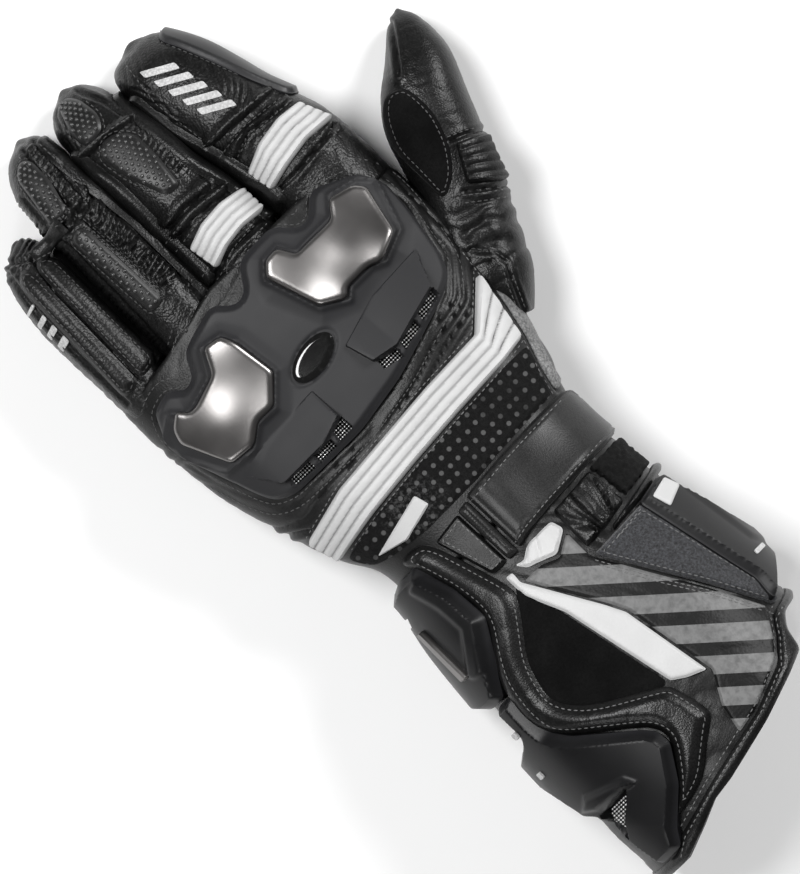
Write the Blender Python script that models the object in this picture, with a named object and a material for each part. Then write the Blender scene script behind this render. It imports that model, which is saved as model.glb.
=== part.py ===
"""A left-hand racing glove, lying palm down: leather shells, moulded guards, metal knuckle plates and a gauntlet cuff.

Metres, +Z up. The wrist is at the origin, on the flat underside. +Y runs towards the fingertips, +X towards the thumb.
Outlines and sections are drawn on one grid: a row of the grid is a share of the length it follows, a column a share
of the width it follows, and place() turns both into metres.
"""

import math

import bmesh
import bpy
from mathutils import Vector

# Driving dimensions, in metres
PALM_WIDTH = 0.112
BACK_LENGTH = 0.104
FINGER_LENGTH = 0.0785
HAND_HEIGHT = 0.046
CUFF_LENGTH = 0.118
CUFF_WIDTH = 0.089
CUFF_HEIGHT = 0.072
THUMB_LENGTH = 0.102
THUMB_WIDTH = 0.026
THUMB_LEAN = math.radians(26)
WALL = 0.002
SEAM = 0.0003

# Thickness of what is sewn or moulded on, in metres
PATCH = 0.0012
PAD = 0.0016
ROLL = 0.003
RIB = 0.0013
STRAP = 0.0022
MOULDED = 0.0034
HUMP = 0.0026
VENT_HUMP = 0.0036
PLATE = 0.0018
WRIST_GUARD = 0.0068
FLAP_GUARD = 0.0066
MESH = 0.0008
TRIM = 0.0006

# Grid squares in each driving dimension
PALM_SQUARES = 112
BACK_SQUARES = 104
FINGER_SQUARES = 78.5
HEIGHT_SQUARES = 46
CUFF_SQUARES = 118
CUFF_WIDTH_SQUARES = 89
CUFF_HEIGHT_SQUARES = 72
THUMB_SQUARES = 102
THUMB_WIDTH_SQUARES = 26
WRIST_ZONE = 20

# Section shape: how square the top and the flattened underside are, and the facets round a section
TOP_SQUARENESS = 0.76
BASE_SQUARENESS = 0.5
BASE_SAG = 1.12
WAIST = 0.42
BODY_SIDES = 24
FINGER_SIDES = 16

# Body sections from the cuff's end to the knuckles: along, left, right, top. Tops up to the wrist are shares of
# CUFF_HEIGHT, the others of HAND_HEIGHT.
CUFF_SECTIONS = [
    (-124, -47, 37.5, 74),
    (-104, -47.5, 39.5, 73),
    (-84, -48, 42, 71),
    (-62, -47.5, 42.5, 68),
    (-42, -46, 41.8, 64),
    (-20, -43.8, 39, 58),
]
HAND_SECTIONS = [
    (0, -40.6, 37.6, 52),
    (10, -41.5, 37.8, 50.5),
    (20, -47, 42.2, 49.5),
    (35, -53, 44.8, 48),
    (50, -57.5, 46.6, 46.5),
    (70, -62, 49.4, 44),
    (90, -63, 49.4, 41.5),
    (104, -62.8, 48.6, 39),
    (114, -62.5, 48.4, 37.5),
]

# Finger sections: along, left, right, top, bottom
FINGERS = {
    "little": [
        (94, -62.8, -42.4, 32, 0),
        (110, -62.8, -42.4, 32, 0.5),
        (125, -63.3, -42.4, 31, 1.5),
        (140, -62.9, -42.4, 29, 1.5),
        (150, -61, -42.6, 25, 0.5),
        (156, -58, -44, 20, 0),
        (159.8, -52.5, -46.5, 14, 4),
    ],
    "ring": [
        (94, -41, -17.3, 38, 0),
        (112, -41.2, -17.3, 37.5, 1.5),
        (130, -41.3, -17.6, 36.5, 3.5),
        (148, -41.3, -18.8, 34, 4),
        (161, -41, -19.3, 29, 2),
        (172, -39.3, -19.6, 24, 0.5),
        (178, -35.4, -20.6, 19, 0),
        (181.2, -30, -23.6, 13, 4),
    ],
    "middle": [
        (94, -16.3, 11.6, 39, 0),
        (112, -16.3, 12, 38.5, 2),
        (130, -16.6, 10.6, 37.5, 4.5),
        (143, -17.2, 8.6, 36, 5),
        (156, -18, 6.6, 32, 4),
        (166, -18.3, 4.7, 28, 2),
        (174, -17.8, 3.6, 23.5, 0.5),
        (179.6, -14.3, 0.6, 17.5, 0),
        (182.6, -9.4, -3.4, 12, 4),
    ],
    "index": [
        (94, 12.9, 48.6, 38, 0),
        (113, 13.3, 48.5, 37, 1.5),
        (125, 12.7, 46.8, 36, 3.5),
        (132, 11.9, 44.4, 35.5, 4),
        (142, 10.3, 40.6, 34, 4.5),
        (152, 8.4, 38, 31.5, 3.5),
        (162, 6.8, 35, 28, 2),
        (170, 6.2, 31.2, 24, 0.5),
        (175.6, 8, 27.6, 18, 0),
        (178, 13.4, 23.6, 12.5, 4),
    ],
}

# Thumb sections: along, left, right, top, bottom, on a grid that leans with the thumb
THUMB_ROOT = (41, 36)
THUMB_SECTIONS = [
    (-8, -14, 4.5, 30, 8),
    (3, -14, 8.8, 30, 7),
    (13, -14, 11.8, 31, 5),
    (28, -14, 12.8, 31, 2.5),
    (40, -14.5, 12.8, 30, 0.8),
    (50, -15.5, 13, 29.5, 0),
    (58, -16.8, 11.6, 29, 0),
    (67, -17.8, 11, 28.5, 0),
    (77, -15.8, 10.4, 27, 0),
    (87, -11.2, 9.3, 23.5, 0),
    (95, -7.6, 6, 19, 0.5),
    (99.6, -5, 2.6, 14.5, 2.5),
    (101.6, -3.2, -0.2, 11, 5),
]

# Lines that part the shells: the finger roots, the wrist and the cuff's sloping end
FINGER_LINE = [(-80, 98), (-41.8, 103), (-17, 108.6), (70, 108.6)]
WRIST_SEAM = -4
CUFF_END = [
    (70, -80.4),
    (37, -85),
    (33.8, -89),
    (32.4, -96),
    (25, -99),
    (10, -104),
    (-10, -108.7),
    (-18, -109.8),
    (-26, -113.2),
    (-37, -117.3),
    (-70, -117.6),
]
BINDING_LINE = [
    (-70, -113.8),
    (-37.5, -113.8),
    (-33, -110.6),
    (-15, -105.4),
    (0, -102),
    (10, -100),
    (25, -94.2),
    (30.4, -88.4),
    (33.8, -83.4),
    (36.8, -82.6),
    (41, -81.6),
    (46, -78.4),
    (70, -76),
]

# Outlines on the body, seen from above: across, along
KNUCKLE_GUARD = [
    (-58, 90),
    (-56, 93.5),
    (-49, 95.3),
    (-46, 92.8),
    (-44, 91.3),
    (-40, 92.5),
    (-37, 99),
    (-33, 101),
    (-20.5, 104.3),
    (-16, 99.5),
    (-13, 98.8),
    (-10, 100),
    (-6, 106.5),
    (-2, 108),
    (10, 108.2),
    (15, 101.8),
    (20, 101.8),
    (24, 106.3),
    (28, 107.3),
    (40, 102.5),
    (44, 94),
    (44, 84),
    (41, 66),
    (38, 59.5),
    (33, 56.5),
    (5, 48),
    (-15, 44.8),
    (-43, 45.2),
    (-49, 48),
    (-52, 54),
    (-59, 76),
    (-60, 84),
]
INDEX_HUMP = [
    (-6, 93),
    (-4, 99),
    (-1, 103.5),
    (7, 104),
    (10, 98.5),
    (23, 98.6),
    (27, 104),
    (38, 100),
    (41.5, 92),
    (38, 80),
    (31, 74),
    (22, 75),
    (11, 73),
    (1, 77),
]
RING_HUMP = [
    (-58, 85.5),
    (-52, 91),
    (-47, 88),
    (-36, 90.5),
    (-33, 98.6),
    (-24, 97),
    (-20.5, 91),
    (-18.5, 75),
    (-27, 65.5),
    (-38, 64),
    (-43, 61.8),
    (-52, 63),
    (-57, 73),
]
INDEX_PLATE = [
    (-2.6, 97),
    (1, 101),
    (6, 101.3),
    (9, 95.7),
    (24, 95.8),
    (28, 101),
    (36, 99),
    (39, 95.4),
    (34.5, 80),
    (26, 76.2),
    (22, 78),
    (13, 78),
    (10.5, 75.6),
    (3, 80),
]
RING_PLATE = [
    (-51, 88.4),
    (-48, 85),
    (-45, 85),
    (-35, 88),
    (-31, 95.3),
    (-25, 94.2),
    (-23, 90),
    (-21, 76),
    (-28.5, 68.2),
    (-35, 68.5),
    (-41, 64.2),
    (-50, 65.4),
    (-57, 80.5),
    (-55.6, 85),
]
BADGE_CENTRE = (-9.5, 70.5)
BADGE_AXES = (9.6, 5)
BADGE_TURN = math.radians(10)
BADGE_SIDES = 20
INDEX_VENT = [(0, 65), (2.5, 54), (11, 51.4), (30, 56.8), (34.4, 66), (34.5, 72), (16, 69)]
INDEX_WINDOWS = [
    [(3.6, 53), (9.8, 51.8), (10.2, 55), (3.8, 56)],
    [(12, 53.2), (19.6, 54.6), (19.6, 57), (12.2, 56)],
    [(21.6, 55.4), (29.4, 58), (29.6, 60.4), (21.8, 58)],
]
INDEX_MESH = [(2.6, 51.6), (10.5, 50.4), (31, 56.8), (31, 61.6), (10.5, 57.6), (2.6, 57.4)]
RING_VENT = [(-49, 60), (-42, 48), (-25, 45.8), (-14.8, 46), (-16.5, 62), (-32, 60)]
RING_WINDOWS = [
    [(-40, 47.6), (-32, 46.9), (-32, 49.6), (-40, 50.2)],
    [(-30, 46.9), (-23.4, 46.8), (-23.2, 49.4), (-30, 49.4)],
    [(-21.6, 47), (-16, 47.4), (-16.4, 51.2), (-21.4, 49.8)],
]
RING_MESH = [(-41.2, 46.6), (-30, 45.8), (-15, 46.2), (-15.2, 52.4), (-22, 51), (-41.2, 51.4)]
STRAP_OUTLINE = [
    (-6.6, 8.1),
    (10, 9.5),
    (30, 10.2),
    (37, 10),
    (38.3, 0),
    (39, -10.5),
    (30, -11),
    (10, -12),
    (0, -13),
    (-6, -14.3),
]
ANCHOR_OUTLINE = [(-19.6, 4.6), (-13, 5.6), (-13, -13.6), (-16.4, -13.6), (-19.2, -5)]
KEEPER_OUTLINE = [(-12.3, 6), (-7.4, 7), (-7, -14), (-12.2, -13.8)]
PERFORATED_OUTLINE = [
    (-45.5, 20.2),
    (-41, 13),
    (-34, 10.8),
    (-22, 9.4),
    (0, 9.6),
    (10, 10.6),
    (33.6, 11.6),
    (36.6, 20),
    (39, 27.6),
    (30, 27.8),
    (10, 26.8),
    (-10, 25.3),
    (-30, 23.3),
]
LABEL_OUTLINE = [(-37.6, 14.6), (-28, 11.4), (-16, 14.4), (-17.4, 19.4)]
PIPING_OUTLINE = [
    (46.2, 62),
    (44.2, 45),
    (40.6, 28.6),
    (37.2, 19),
    (35.4, 11.6),
    (42, 11.6),
    (46, 22),
    (50, 34),
    (52, 62),
]
SURROUND_OUTLINE = [
    (-35, 8.4),
    (-33, 3),
    (-29, -10),
    (-28, -22),
    (-36, -34),
    (-39.4, -41),
    (-41, -52),
    (-40, -60),
    (-36, -65),
    (-18, -79),
    (-15, -83),
    (-14.6, -88),
    (-22, -98),
    (-31, -106.4),
    (-17, -103.2),
    (-4, -93),
    (-0.8, -91),
    (-0.6, -87),
    (-3, -76.8),
    (-5.5, -74.3),
    (-20, -66.2),
    (-26, -62),
    (-30.3, -57),
    (-32, -52),
    (-29, -41),
    (-17, -25),
    (-16.6, -20),
    (-21.4, -4),
    (-24, 4),
    (-27, 8),
]
UPPER_GUARD = [
    (-47, 1.6),
    (-41.5, 4.2),
    (-38, 3.4),
    (-34.4, 4),
    (-30, -10.4),
    (-29, -22.4),
    (-37, -34.4),
    (-41, -39.5),
    (-43.6, -43.8),
    (-49, -43.8),
    (-53.6, -39.5),
    (-51.5, -26),
    (-50.4, -16),
    (-48, -8),
]
LOWER_GUARD = [
    (-47.9, -44.6),
    (-42.4, -44.6),
    (-42, -53),
    (-41.2, -60.6),
    (-37, -66),
    (-19, -80),
    (-16.2, -83.6),
    (-15.8, -88.2),
    (-23, -98.8),
    (-33.6, -108),
    (-37, -112.8),
    (-45.4, -113),
    (-46.6, -105),
    (-48, -90.5),
    (-50.3, -88.5),
    (-54.4, -65),
    (-53.6, -61),
    (-47.7, -56),
]
GUARD_SCOOP = [(-44, -86), (-41, -82.6), (-31, -86.6), (-29.6, -89.6), (-41, -88)]
GUARD_WINDOW = [(-42.4, -93), (-41, -90.4), (-33.4, -89.4), (-39, -95), (-41.6, -99.4)]
GUARD_MESH = [(-43.4, -93), (-42, -89), (-31.4, -87.8), (-38, -96), (-41.8, -101.4)]
INSERT_OUTLINE = [(-46.9, -13), (-45.4, -13), (-45.2, -32.4), (-47.2, -32.4)]
STRIPE_OUTLINE = [
    (-15.6, -18),
    (-13, -18.2),
    (-13.3, -22),
    (0, -45),
    (3, -51),
    (8, -80.4),
    (2, -77.8),
    (-2.2, -75),
    (-10, -38),
    (-15.3, -26),
]
PRINT_OUTLINE = [
    (-12.2, -22.6),
    (-5, -22.8),
    (0.4, -25.2),
    (7.2, -21.2),
    (7.2, -31),
    (16.8, -48),
    (25, -62),
    (34, -79.6),
    (29.2, -87.4),
    (24.4, -93.2),
    (10, -99),
    (1.6, -100.8),
    (3.6, -91),
    (9.2, -81.6),
    (3.9, -51),
    (0.9, -45),
]
TAB_OUTLINE = [
    (-11, -17.2),
    (-7.8, -18.2),
    (-4, -15.5),
    (6.3, -15.5),
    (7.5, -19.7),
    (0.5, -23.9),
    (-5, -21.6),
    (-8.4, -20.6),
]
HOOK_OUTLINE = [(26.6, -12.6), (39, -12.2), (40.5, -24.4), (28.2, -26)]
FLAP_EDGE_OUTLINE = [(18, -29.9), (28.5, -27.9), (44, -25), (44, -28), (29, -30.2), (18, -31)]
VELOUR_OUTLINE = [
    (8.6, -31.9),
    (29.4, -31.2),
    (32.8, -45),
    (39.2, -72),
    (38.4, -79),
    (36.7, -81.4),
    (26.4, -61.8),
    (18, -47.8),
]
FLAP_GUARD_OUTLINE = [
    (30.4, -31.2),
    (41, -29.2),
    (46, -53),
    (48, -62),
    (50.2, -69),
    (44, -76.4),
    (40, -80.4),
    (39.3, -78),
    (40, -72),
    (33.6, -45),
]
FLAP_LABEL_OUTLINE = [(33.8, -33.2), (40.4, -31.6), (42.2, -36.4), (35.6, -39)]

# Outlines on the fingers
LITTLE_PAD = [(-51.6, 104), (-44.4, 105), (-44.4, 148.8), (-50.8, 148.8)]
LITTLE_SIDE_PAD = [(-58, 102.8), (-52.4, 103.6), (-51.6, 148.8), (-56, 150)]
BRIDGE_OUTLINE = [(-46.4, 149.8), (-37.6, 149.8), (-37.6, 155), (-46.4, 155)]
RING_TIP_PAD = [(-37, 155.6), (-30.4, 155.6), (-29.6, 173), (-35, 173.6)]
RING_PAD = [(-35.4, 116), (-30, 116), (-29.6, 149), (-36, 149)]
MIDDLE_TIP_PAD = [(-12, 165.6), (-5, 165.6), (-3.6, 170), (-5.4, 179), (-10, 179), (-14.6, 170)]
MIDDLE_PAD = [(-7.6, 138.2), (-3.4, 138.2), (-2.2, 158), (-12, 158)]
SLIDER_OUTLINE = [
    (42.4, 131.6),
    (37, 143.5),
    (33, 155),
    (28.4, 167),
    (25, 174),
    (31, 176),
    (36, 171),
    (41, 162),
    (45, 150),
    (49, 131.6),
]

# Ribbed panels: the lower edge and the upper edge, left to right, with as many points in each
BACK_PANEL = (
    [(-46.2, 21.8), (-30, 24.4), (-10, 26.4), (10, 27.9), (30, 28.9), (39, 30.4)],
    [(-49.6, 32.6), (-32, 37), (-10, 38.8), (8, 40.2), (30, 41), (43.4, 53.6)],
)
MIDDLE_PANEL = (
    [(-10.4, 111), (-4, 113.4), (3, 114.4), (10.4, 113.6)],
    [(-11.8, 121.4), (-5, 124), (3, 124.6), (10, 123.4)],
)
INDEX_PANEL = (
    [(18.6, 116), (26, 117.8), (36, 119.4), (45.6, 118.6)],
    [(17.2, 125.4), (25, 129), (34, 130.4), (41.4, 129.4)],
)
GATHERED_PANEL = (
    [(8.5, -28.8), (14, -28.4), (20, -27.9), (26.4, -26.8)],
    [(8.8, -13.8), (14, -13.6), (20, -13.2), (25.4, -12.8)],
)
THUMB_PANEL = (
    [(0.8, 44.4), (5, 43.4), (9, 42.4), (12, 41.6)],
    [(1.4, 57), (5, 57.2), (8.6, 57), (10.6, 56.8)],
)
THUMB_PATCH = [
    (-7.4, 41.4),
    (-2.2, 48),
    (-0.3, 57.7),
    (-1.5, 68),
    (-5.5, 76),
    (-8.6, 79),
    (-14, 78),
    (-16.6, 71),
    (-16.4, 61),
    (-11.6, 51),
]
PANEL_RIBS = 4
GATHERS = 5
RIB_SHARE = 0.62
ROLL_END = 0.06
FIELD_STEP = 0.001
FLAT_ANGLE = math.radians(2.5)

# Heights above which a piece that wraps a side starts, as shares of HAND_HEIGHT
TOP_LOW = 9
SIDE_LOW = 14
PIPING_LOW = 33
FLOOR_LOW = 0.6
SKY = 0.2

COLOURS = {
    "leather": ((0.022, 0.022, 0.023), 0.55, 0.0),
    "suede": ((0.03, 0.03, 0.03), 0.9, 0.0),
    "white_leather": ((0.75, 0.75, 0.74), 0.5, 0.0),
    "moulded_black": ((0.045, 0.045, 0.047), 0.5, 0.0),
    "satin_metal": ((0.62, 0.61, 0.6), 0.32, 1.0),
    "gloss_black": ((0.01, 0.01, 0.01), 0.12, 0.0),
    "silver_mesh": ((0.3, 0.3, 0.3), 0.45, 0.6),
    "velour": ((0.07, 0.07, 0.075), 0.95, 0.0),
    "grey_print": ((0.25, 0.25, 0.26), 0.5, 0.0),
}


def place(across, along):
    """A point of the glove's grid in metres. Widths pass from the cuff's to the palm's within the wrist zone."""
    if along < 0:
        y = along * CUFF_LENGTH / CUFF_SQUARES
    elif along < BACK_SQUARES:
        y = along * BACK_LENGTH / BACK_SQUARES
    else:
        y = BACK_LENGTH + (along - BACK_SQUARES) * FINGER_LENGTH / FINGER_SQUARES
    hand_share = min(max((along + WRIST_ZONE) / (2 * WRIST_ZONE), 0), 1)
    cuff_scale = CUFF_WIDTH / CUFF_WIDTH_SQUARES
    palm_scale = PALM_WIDTH / PALM_SQUARES
    return across * (cuff_scale + hand_share * (palm_scale - cuff_scale)), y


def place_on_thumb(across, along):
    """A point of the thumb's leaning grid in metres."""
    root_x, root_y = place(*THUMB_ROOT)
    forward = along * THUMB_LENGTH / THUMB_SQUARES
    sideways = across * THUMB_WIDTH / THUMB_WIDTH_SQUARES
    x = root_x + forward * math.sin(THUMB_LEAN) + sideways * math.cos(THUMB_LEAN)
    y = root_y + forward * math.cos(THUMB_LEAN) - sideways * math.sin(THUMB_LEAN)
    return x, y


def height(squares):
    return squares * HAND_HEIGHT / HEIGHT_SQUARES


def cuff_height(squares):
    return squares * CUFF_HEIGHT / CUFF_HEIGHT_SQUARES


def new_object(name, bm):
    mesh = bpy.data.meshes.new(name)
    bm.to_mesh(mesh)
    bm.free()
    obj = bpy.data.objects.new(name, mesh)
    PARTS.objects.link(obj)
    return obj


def section(left, right, top, bottom, where, along, sides):
    """One closed ring of points: rounded above, flattened on the underside."""
    centre = bottom + WAIST * (top - bottom)
    points = []
    for step in range(sides):
        angle = 2 * math.pi * step / sides
        across, up = math.cos(angle), math.sin(angle)
        reach = math.copysign(abs(across) ** TOP_SQUARENESS, across)
        if up >= 0:
            z = centre + (top - centre) * up**TOP_SQUARENESS
        else:
            z = centre - (centre - bottom) * BASE_SAG * abs(up) ** BASE_SQUARENESS
        x, y = where((left + right) / 2 + reach * (right - left) / 2, along)
        points.append(Vector((x, y, max(z, bottom))))
    return points


def loft(rings, offset, open_start, open_end):
    """The closed solid through the rings, moved out by offset. An open end of a cavity runs on past its last ring."""
    bm = bmesh.new()
    loops = [[bm.verts.new(point) for point in ring] for ring in rings]
    for low, high in zip(loops, loops[1:]):
        count = len(low)
        for i in range(count):
            j = (i + 1) % count
            bm.faces.new((low[i], low[j], high[j], high[i]))
    bm.faces.new(reversed(loops[0]))
    bm.faces.new(loops[-1])
    bmesh.ops.recalc_face_normals(bm, faces=bm.faces)
    floor = min(point.z for ring in rings for point in ring)
    bm.normal_update()
    moved = [vert.co + vert.normal * offset * vert.calc_shell_factor() for vert in bm.verts]
    for vert, point in zip(bm.verts, moved):
        vert.co = point
        if offset < 0:
            vert.co.z = max(point.z, floor - offset)
    for is_open, end, inside in ((open_start, 0, 1), (open_end, -1, -2)):
        if is_open and offset < 0:
            run = (rings[end][0] - rings[inside][0]).normalized() * 4 * WALL
            for vert in loops[end]:
                vert.co += Vector((run.x, run.y, 0))
    bmesh.ops.triangulate(bm, faces=bm.faces, quad_method="FIXED")
    return bm


def prism(outline, where, low, high):
    """The upright prism over an outline."""
    bm = bmesh.new()
    face = bm.faces.new([bm.verts.new((*where(*point), low)) for point in outline])
    extruded = bmesh.ops.extrude_face_region(bm, geom=[face])["geom"]
    for element in extruded:
        if isinstance(element, bmesh.types.BMVert):
            element.co.z = high
    bmesh.ops.recalc_face_normals(bm, faces=bm.faces)
    return bm


def combine(target, tool, operation):
    modifier = target.modifiers.new(operation, "BOOLEAN")
    modifier.operation = operation
    modifier.object = tool
    graph = bpy.context.evaluated_depsgraph_get()
    result = bpy.data.meshes.new_from_object(target.evaluated_get(graph))
    target.modifiers.clear()
    target.data = result
    bpy.data.objects.remove(tool)


def flatten(obj):
    """Joins the facets that a Boolean split but that still lie in one plane."""
    bm = bmesh.new()
    bm.from_mesh(obj.data)
    bmesh.ops.dissolve_limit(bm, angle_limit=FLAT_ANGLE, verts=bm.verts, edges=bm.edges)
    bmesh.ops.triangulate(bm, faces=bm.faces)
    bm.to_mesh(obj.data)
    bm.free()


def grown(outline, where, by):
    """The outline in metres with every edge moved out by a distance."""
    points = [Vector(where(*point)) for point in outline]
    area = sum(a.x * b.y - b.x * a.y for a, b in zip(points, points[1:] + points[:1]))
    turn = 1 if area > 0 else -1
    moved = []
    for before, point, after in zip(points[-1:] + points[:-1], points, points[1:] + points[:1]):
        first = (point - before).normalized()
        second = (after - point).normalized()
        out = (Vector((first.y, -first.x)) + Vector((second.y, -second.x))).normalized() * turn
        lean = max(out.dot(Vector((first.y, -first.x)) * turn), 0.4)
        moved.append(point + out * by / lean)
    return moved


def as_drawn(x, y):
    return x, y


# The tubes that everything is built on, each a list of rings with its open ends
def body_rings():
    rows = [(along, left, right, cuff_height(top)) for along, left, right, top in CUFF_SECTIONS]
    rows += [(along, left, right, height(top)) for along, left, right, top in HAND_SECTIONS]
    return [section(left, right, top, 0, place, along, BODY_SIDES) for along, left, right, top in rows]


def finger_rings(rows):
    return [
        section(left, right, height(top), height(bottom), place, along, FINGER_SIDES)
        for along, left, right, top, bottom in rows
    ]


def thumb_rings():
    return [
        section(left, right, height(top), height(bottom), place_on_thumb, along, FINGER_SIDES)
        for along, left, right, top, bottom in THUMB_SECTIONS
    ]


def tube(name, offset):
    """One of the glove's tubes as a closed solid, its surface moved out by offset."""
    rings, open_start, open_end = TUBES[name]
    return new_object(f"{name}_{offset:.5f}", loft(rings, offset, open_start, open_end))


def hollow_tube(name, label):
    obj = tube(name, 0)
    combine(obj, tube(name, -WALL), "DIFFERENCE")
    obj.name = label
    return obj


def draped(name, tubes, outline, start, thickness, where=place, low=TOP_LOW, fields=()):
    """A layer that lies on one or more tubes, between two heights over them, inside an outline. Fields stand higher.

    The layer stops at low, a share of HAND_HEIGHT, so that it stays off the underside.
    """
    low = height(low)
    obj = over_tubes(name, tubes, outline, start + thickness, where, low)
    for field, rise in fields:
        combine(obj, over_tubes("field", tubes, field, start + rise, where, low + FIELD_STEP), "UNION")
    for base in tubes:
        combine(obj, tube(base, start), "DIFFERENCE")
    flatten(obj)
    return obj


def over_tubes(name, tubes, outline, top, where, low):
    """The upright prism over an outline, cut off at a height over the tubes."""
    obj = new_object(name, prism(outline, where, low, SKY))
    skins = tube(tubes[0], top)
    for other in tubes[1:]:
        combine(skins, tube(other, top), "UNION")
    combine(obj, skins, "INTERSECT")
    return obj


def window(obj, outline, where=place):
    combine(obj, new_object("window", prism(outline, where, 0, SKY)), "DIFFERENCE")


def recess(obj, base, outline, depth, where=place):
    """Hollows a piece's underside, for the sheet of mesh below it."""
    pocket = new_object("pocket", prism(grown(outline, where, SEAM), as_drawn, 0, SKY))
    combine(pocket, tube(base, depth), "INTERSECT")
    combine(obj, pocket, "DIFFERENCE")


def strip_between(lower, upper, start, end):
    """The outline between two shares of the way from a panel's lower edge to its upper edge, short of its ends."""
    strip = []
    for share in (start, end):
        edge = [Vector(a).lerp(Vector(b), share) for a, b in zip(lower, upper)]
        edge[0] = edge[0].lerp(edge[1], ROLL_END)
        edge[-1] = edge[-1].lerp(edge[-2], ROLL_END)
        strip += edge if share == start else edge[::-1]
    return strip


def ribbed(name, base, edges, thickness, ribs, where=place):
    """A stretch panel: a thin backing with rolls of leather across it."""
    lower, upper = edges
    rolls = []
    for rib in range(ribs):
        start = (rib + (1 - RIB_SHARE) / 2) / ribs
        rolls.append((strip_between(lower, upper, start, start + RIB_SHARE / ribs), thickness))
    return draped(name, [base], lower + upper[::-1], SEAM, thickness - RIB, where, TOP_LOW, rolls)


def beyond(line, far, gap):
    """The region past a line that crosses the glove, moved on by a gap."""
    points = [Vector(place(*point)) + Vector((0, gap)) for point in line]
    return [*points, Vector((points[-1].x, far)), Vector((points[0].x, far))]


def side_of(line, far, gap):
    return new_object("side", prism(beyond(line, far, gap), as_drawn, -SKY, SKY))


def make_shells():
    """The leather body in two shells, and the five finger tubes that meet it at the finger line."""
    wrist = [(-80, WRIST_SEAM), (70, WRIST_SEAM)]
    hand = hollow_tube("body", "hand_shell")
    combine(hand, tube("thumb", -WALL), "DIFFERENCE")
    combine(hand, side_of(FINGER_LINE, SKY + FINGER_LENGTH, 0), "DIFFERENCE")
    cuff = hollow_tube("body", "cuff_shell")
    combine(hand, side_of(wrist, -SKY - CUFF_LENGTH, 0), "DIFFERENCE")
    combine(cuff, side_of(wrist, SKY + BACK_LENGTH, -SEAM), "DIFFERENCE")
    combine(cuff, side_of(CUFF_END, -SKY - CUFF_LENGTH, 0), "DIFFERENCE")
    shells = [hand, cuff]
    for name in FINGERS:
        finger = hollow_tube(name, name + "_finger")
        combine(finger, side_of(FINGER_LINE, SKY + FINGER_LENGTH, SEAM), "INTERSECT")
        shells.append(finger)
    thumb = hollow_tube("thumb", "thumb")
    combine(thumb, tube("body", SEAM), "DIFFERENCE")
    shells.append(thumb)
    for shell in shells:
        paint(shell, "leather")


def make_knuckle_guard():
    """The moulded guard over the knuckles: two humps that carry metal plates, and two vent flaps with mesh below."""
    fields = [
        (INDEX_HUMP, MOULDED + HUMP),
        (RING_HUMP, MOULDED + HUMP),
        (INDEX_VENT, MOULDED + VENT_HUMP),
        (RING_VENT, MOULDED + VENT_HUMP),
    ]
    guard = draped("knuckle_guard", ["body"], KNUCKLE_GUARD, SEAM, MOULDED, place, TOP_LOW, fields)
    for windows, sheet, label in (
        (INDEX_WINDOWS, INDEX_MESH, "vent_mesh_index"),
        (RING_WINDOWS, RING_MESH, "vent_mesh_ring"),
    ):
        recess(guard, "body", sheet, 2 * SEAM + MESH)
        for outline in windows:
            window(guard, outline)
        paint(draped(label, ["body"], sheet, SEAM, MESH), "silver_mesh")
    paint(guard, "moulded_black")
    top = 2 * SEAM + MOULDED + HUMP
    paint(draped("knuckle_plate_index", ["body"], INDEX_PLATE, top, PLATE), "satin_metal")
    paint(draped("knuckle_plate_ring", ["body"], RING_PLATE, top, PLATE), "satin_metal")
    oval = []
    for step in range(BADGE_SIDES):
        angle = 2 * math.pi * step / BADGE_SIDES
        along, across = BADGE_AXES[0] * math.cos(angle), BADGE_AXES[1] * math.sin(angle)
        x = BADGE_CENTRE[0] + along * math.cos(BADGE_TURN) - across * math.sin(BADGE_TURN)
        y = BADGE_CENTRE[1] + along * math.sin(BADGE_TURN) + across * math.cos(BADGE_TURN)
        oval.append((x, y))
    paint(draped("oval_badge", ["body"], oval, 2 * SEAM + MOULDED, PATCH), "gloss_black")


def make_stretch_panels():
    """The ribbed leather panels where the glove bends."""
    paint(ribbed("back_stretch_panel", "body", BACK_PANEL, ROLL, PANEL_RIBS), "white_leather")
    paint(ribbed("middle_stretch_panel", "middle", MIDDLE_PANEL, ROLL, PANEL_RIBS), "white_leather")
    paint(ribbed("index_stretch_panel", "index", INDEX_PANEL, ROLL, PANEL_RIBS), "white_leather")
    paint(ribbed("thumb_stretch_panel", "thumb", THUMB_PANEL, ROLL, PANEL_RIBS, place_on_thumb), "leather")
    paint(ribbed("gathered_panel", "body", GATHERED_PANEL, ROLL, GATHERS), "leather")


def make_finger_pads():
    """Studded and grained pads on the fingers, the index finger's slider, and the bridge that ties two fingers."""
    for name, finger, outline, thickness, slot in (
        ("little_pad", "little", LITTLE_PAD, PAD, "leather"),
        ("little_side_pad", "little", LITTLE_SIDE_PAD, PAD, "leather"),
        ("ring_tip_pad", "ring", RING_TIP_PAD, PAD, "moulded_black"),
        ("ring_pad", "ring", RING_PAD, PAD, "moulded_black"),
        ("middle_tip_pad", "middle", MIDDLE_TIP_PAD, PAD, "moulded_black"),
        ("middle_pad", "middle", MIDDLE_PAD, PAD, "moulded_black"),
    ):
        paint(draped(name, [finger], outline, SEAM, thickness), slot)
    slider = draped("index_slider", ["index"], SLIDER_OUTLINE, SEAM, PAD)
    paint(slider, "moulded_black")
    bridge = draped("finger_bridge", ["little", "ring"], BRIDGE_OUTLINE, SEAM, ROLL)
    paint(bridge, "leather")
    paint(draped("thumb_patch", ["thumb"], THUMB_PATCH, SEAM, PATCH, place_on_thumb), "suede")


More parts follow.
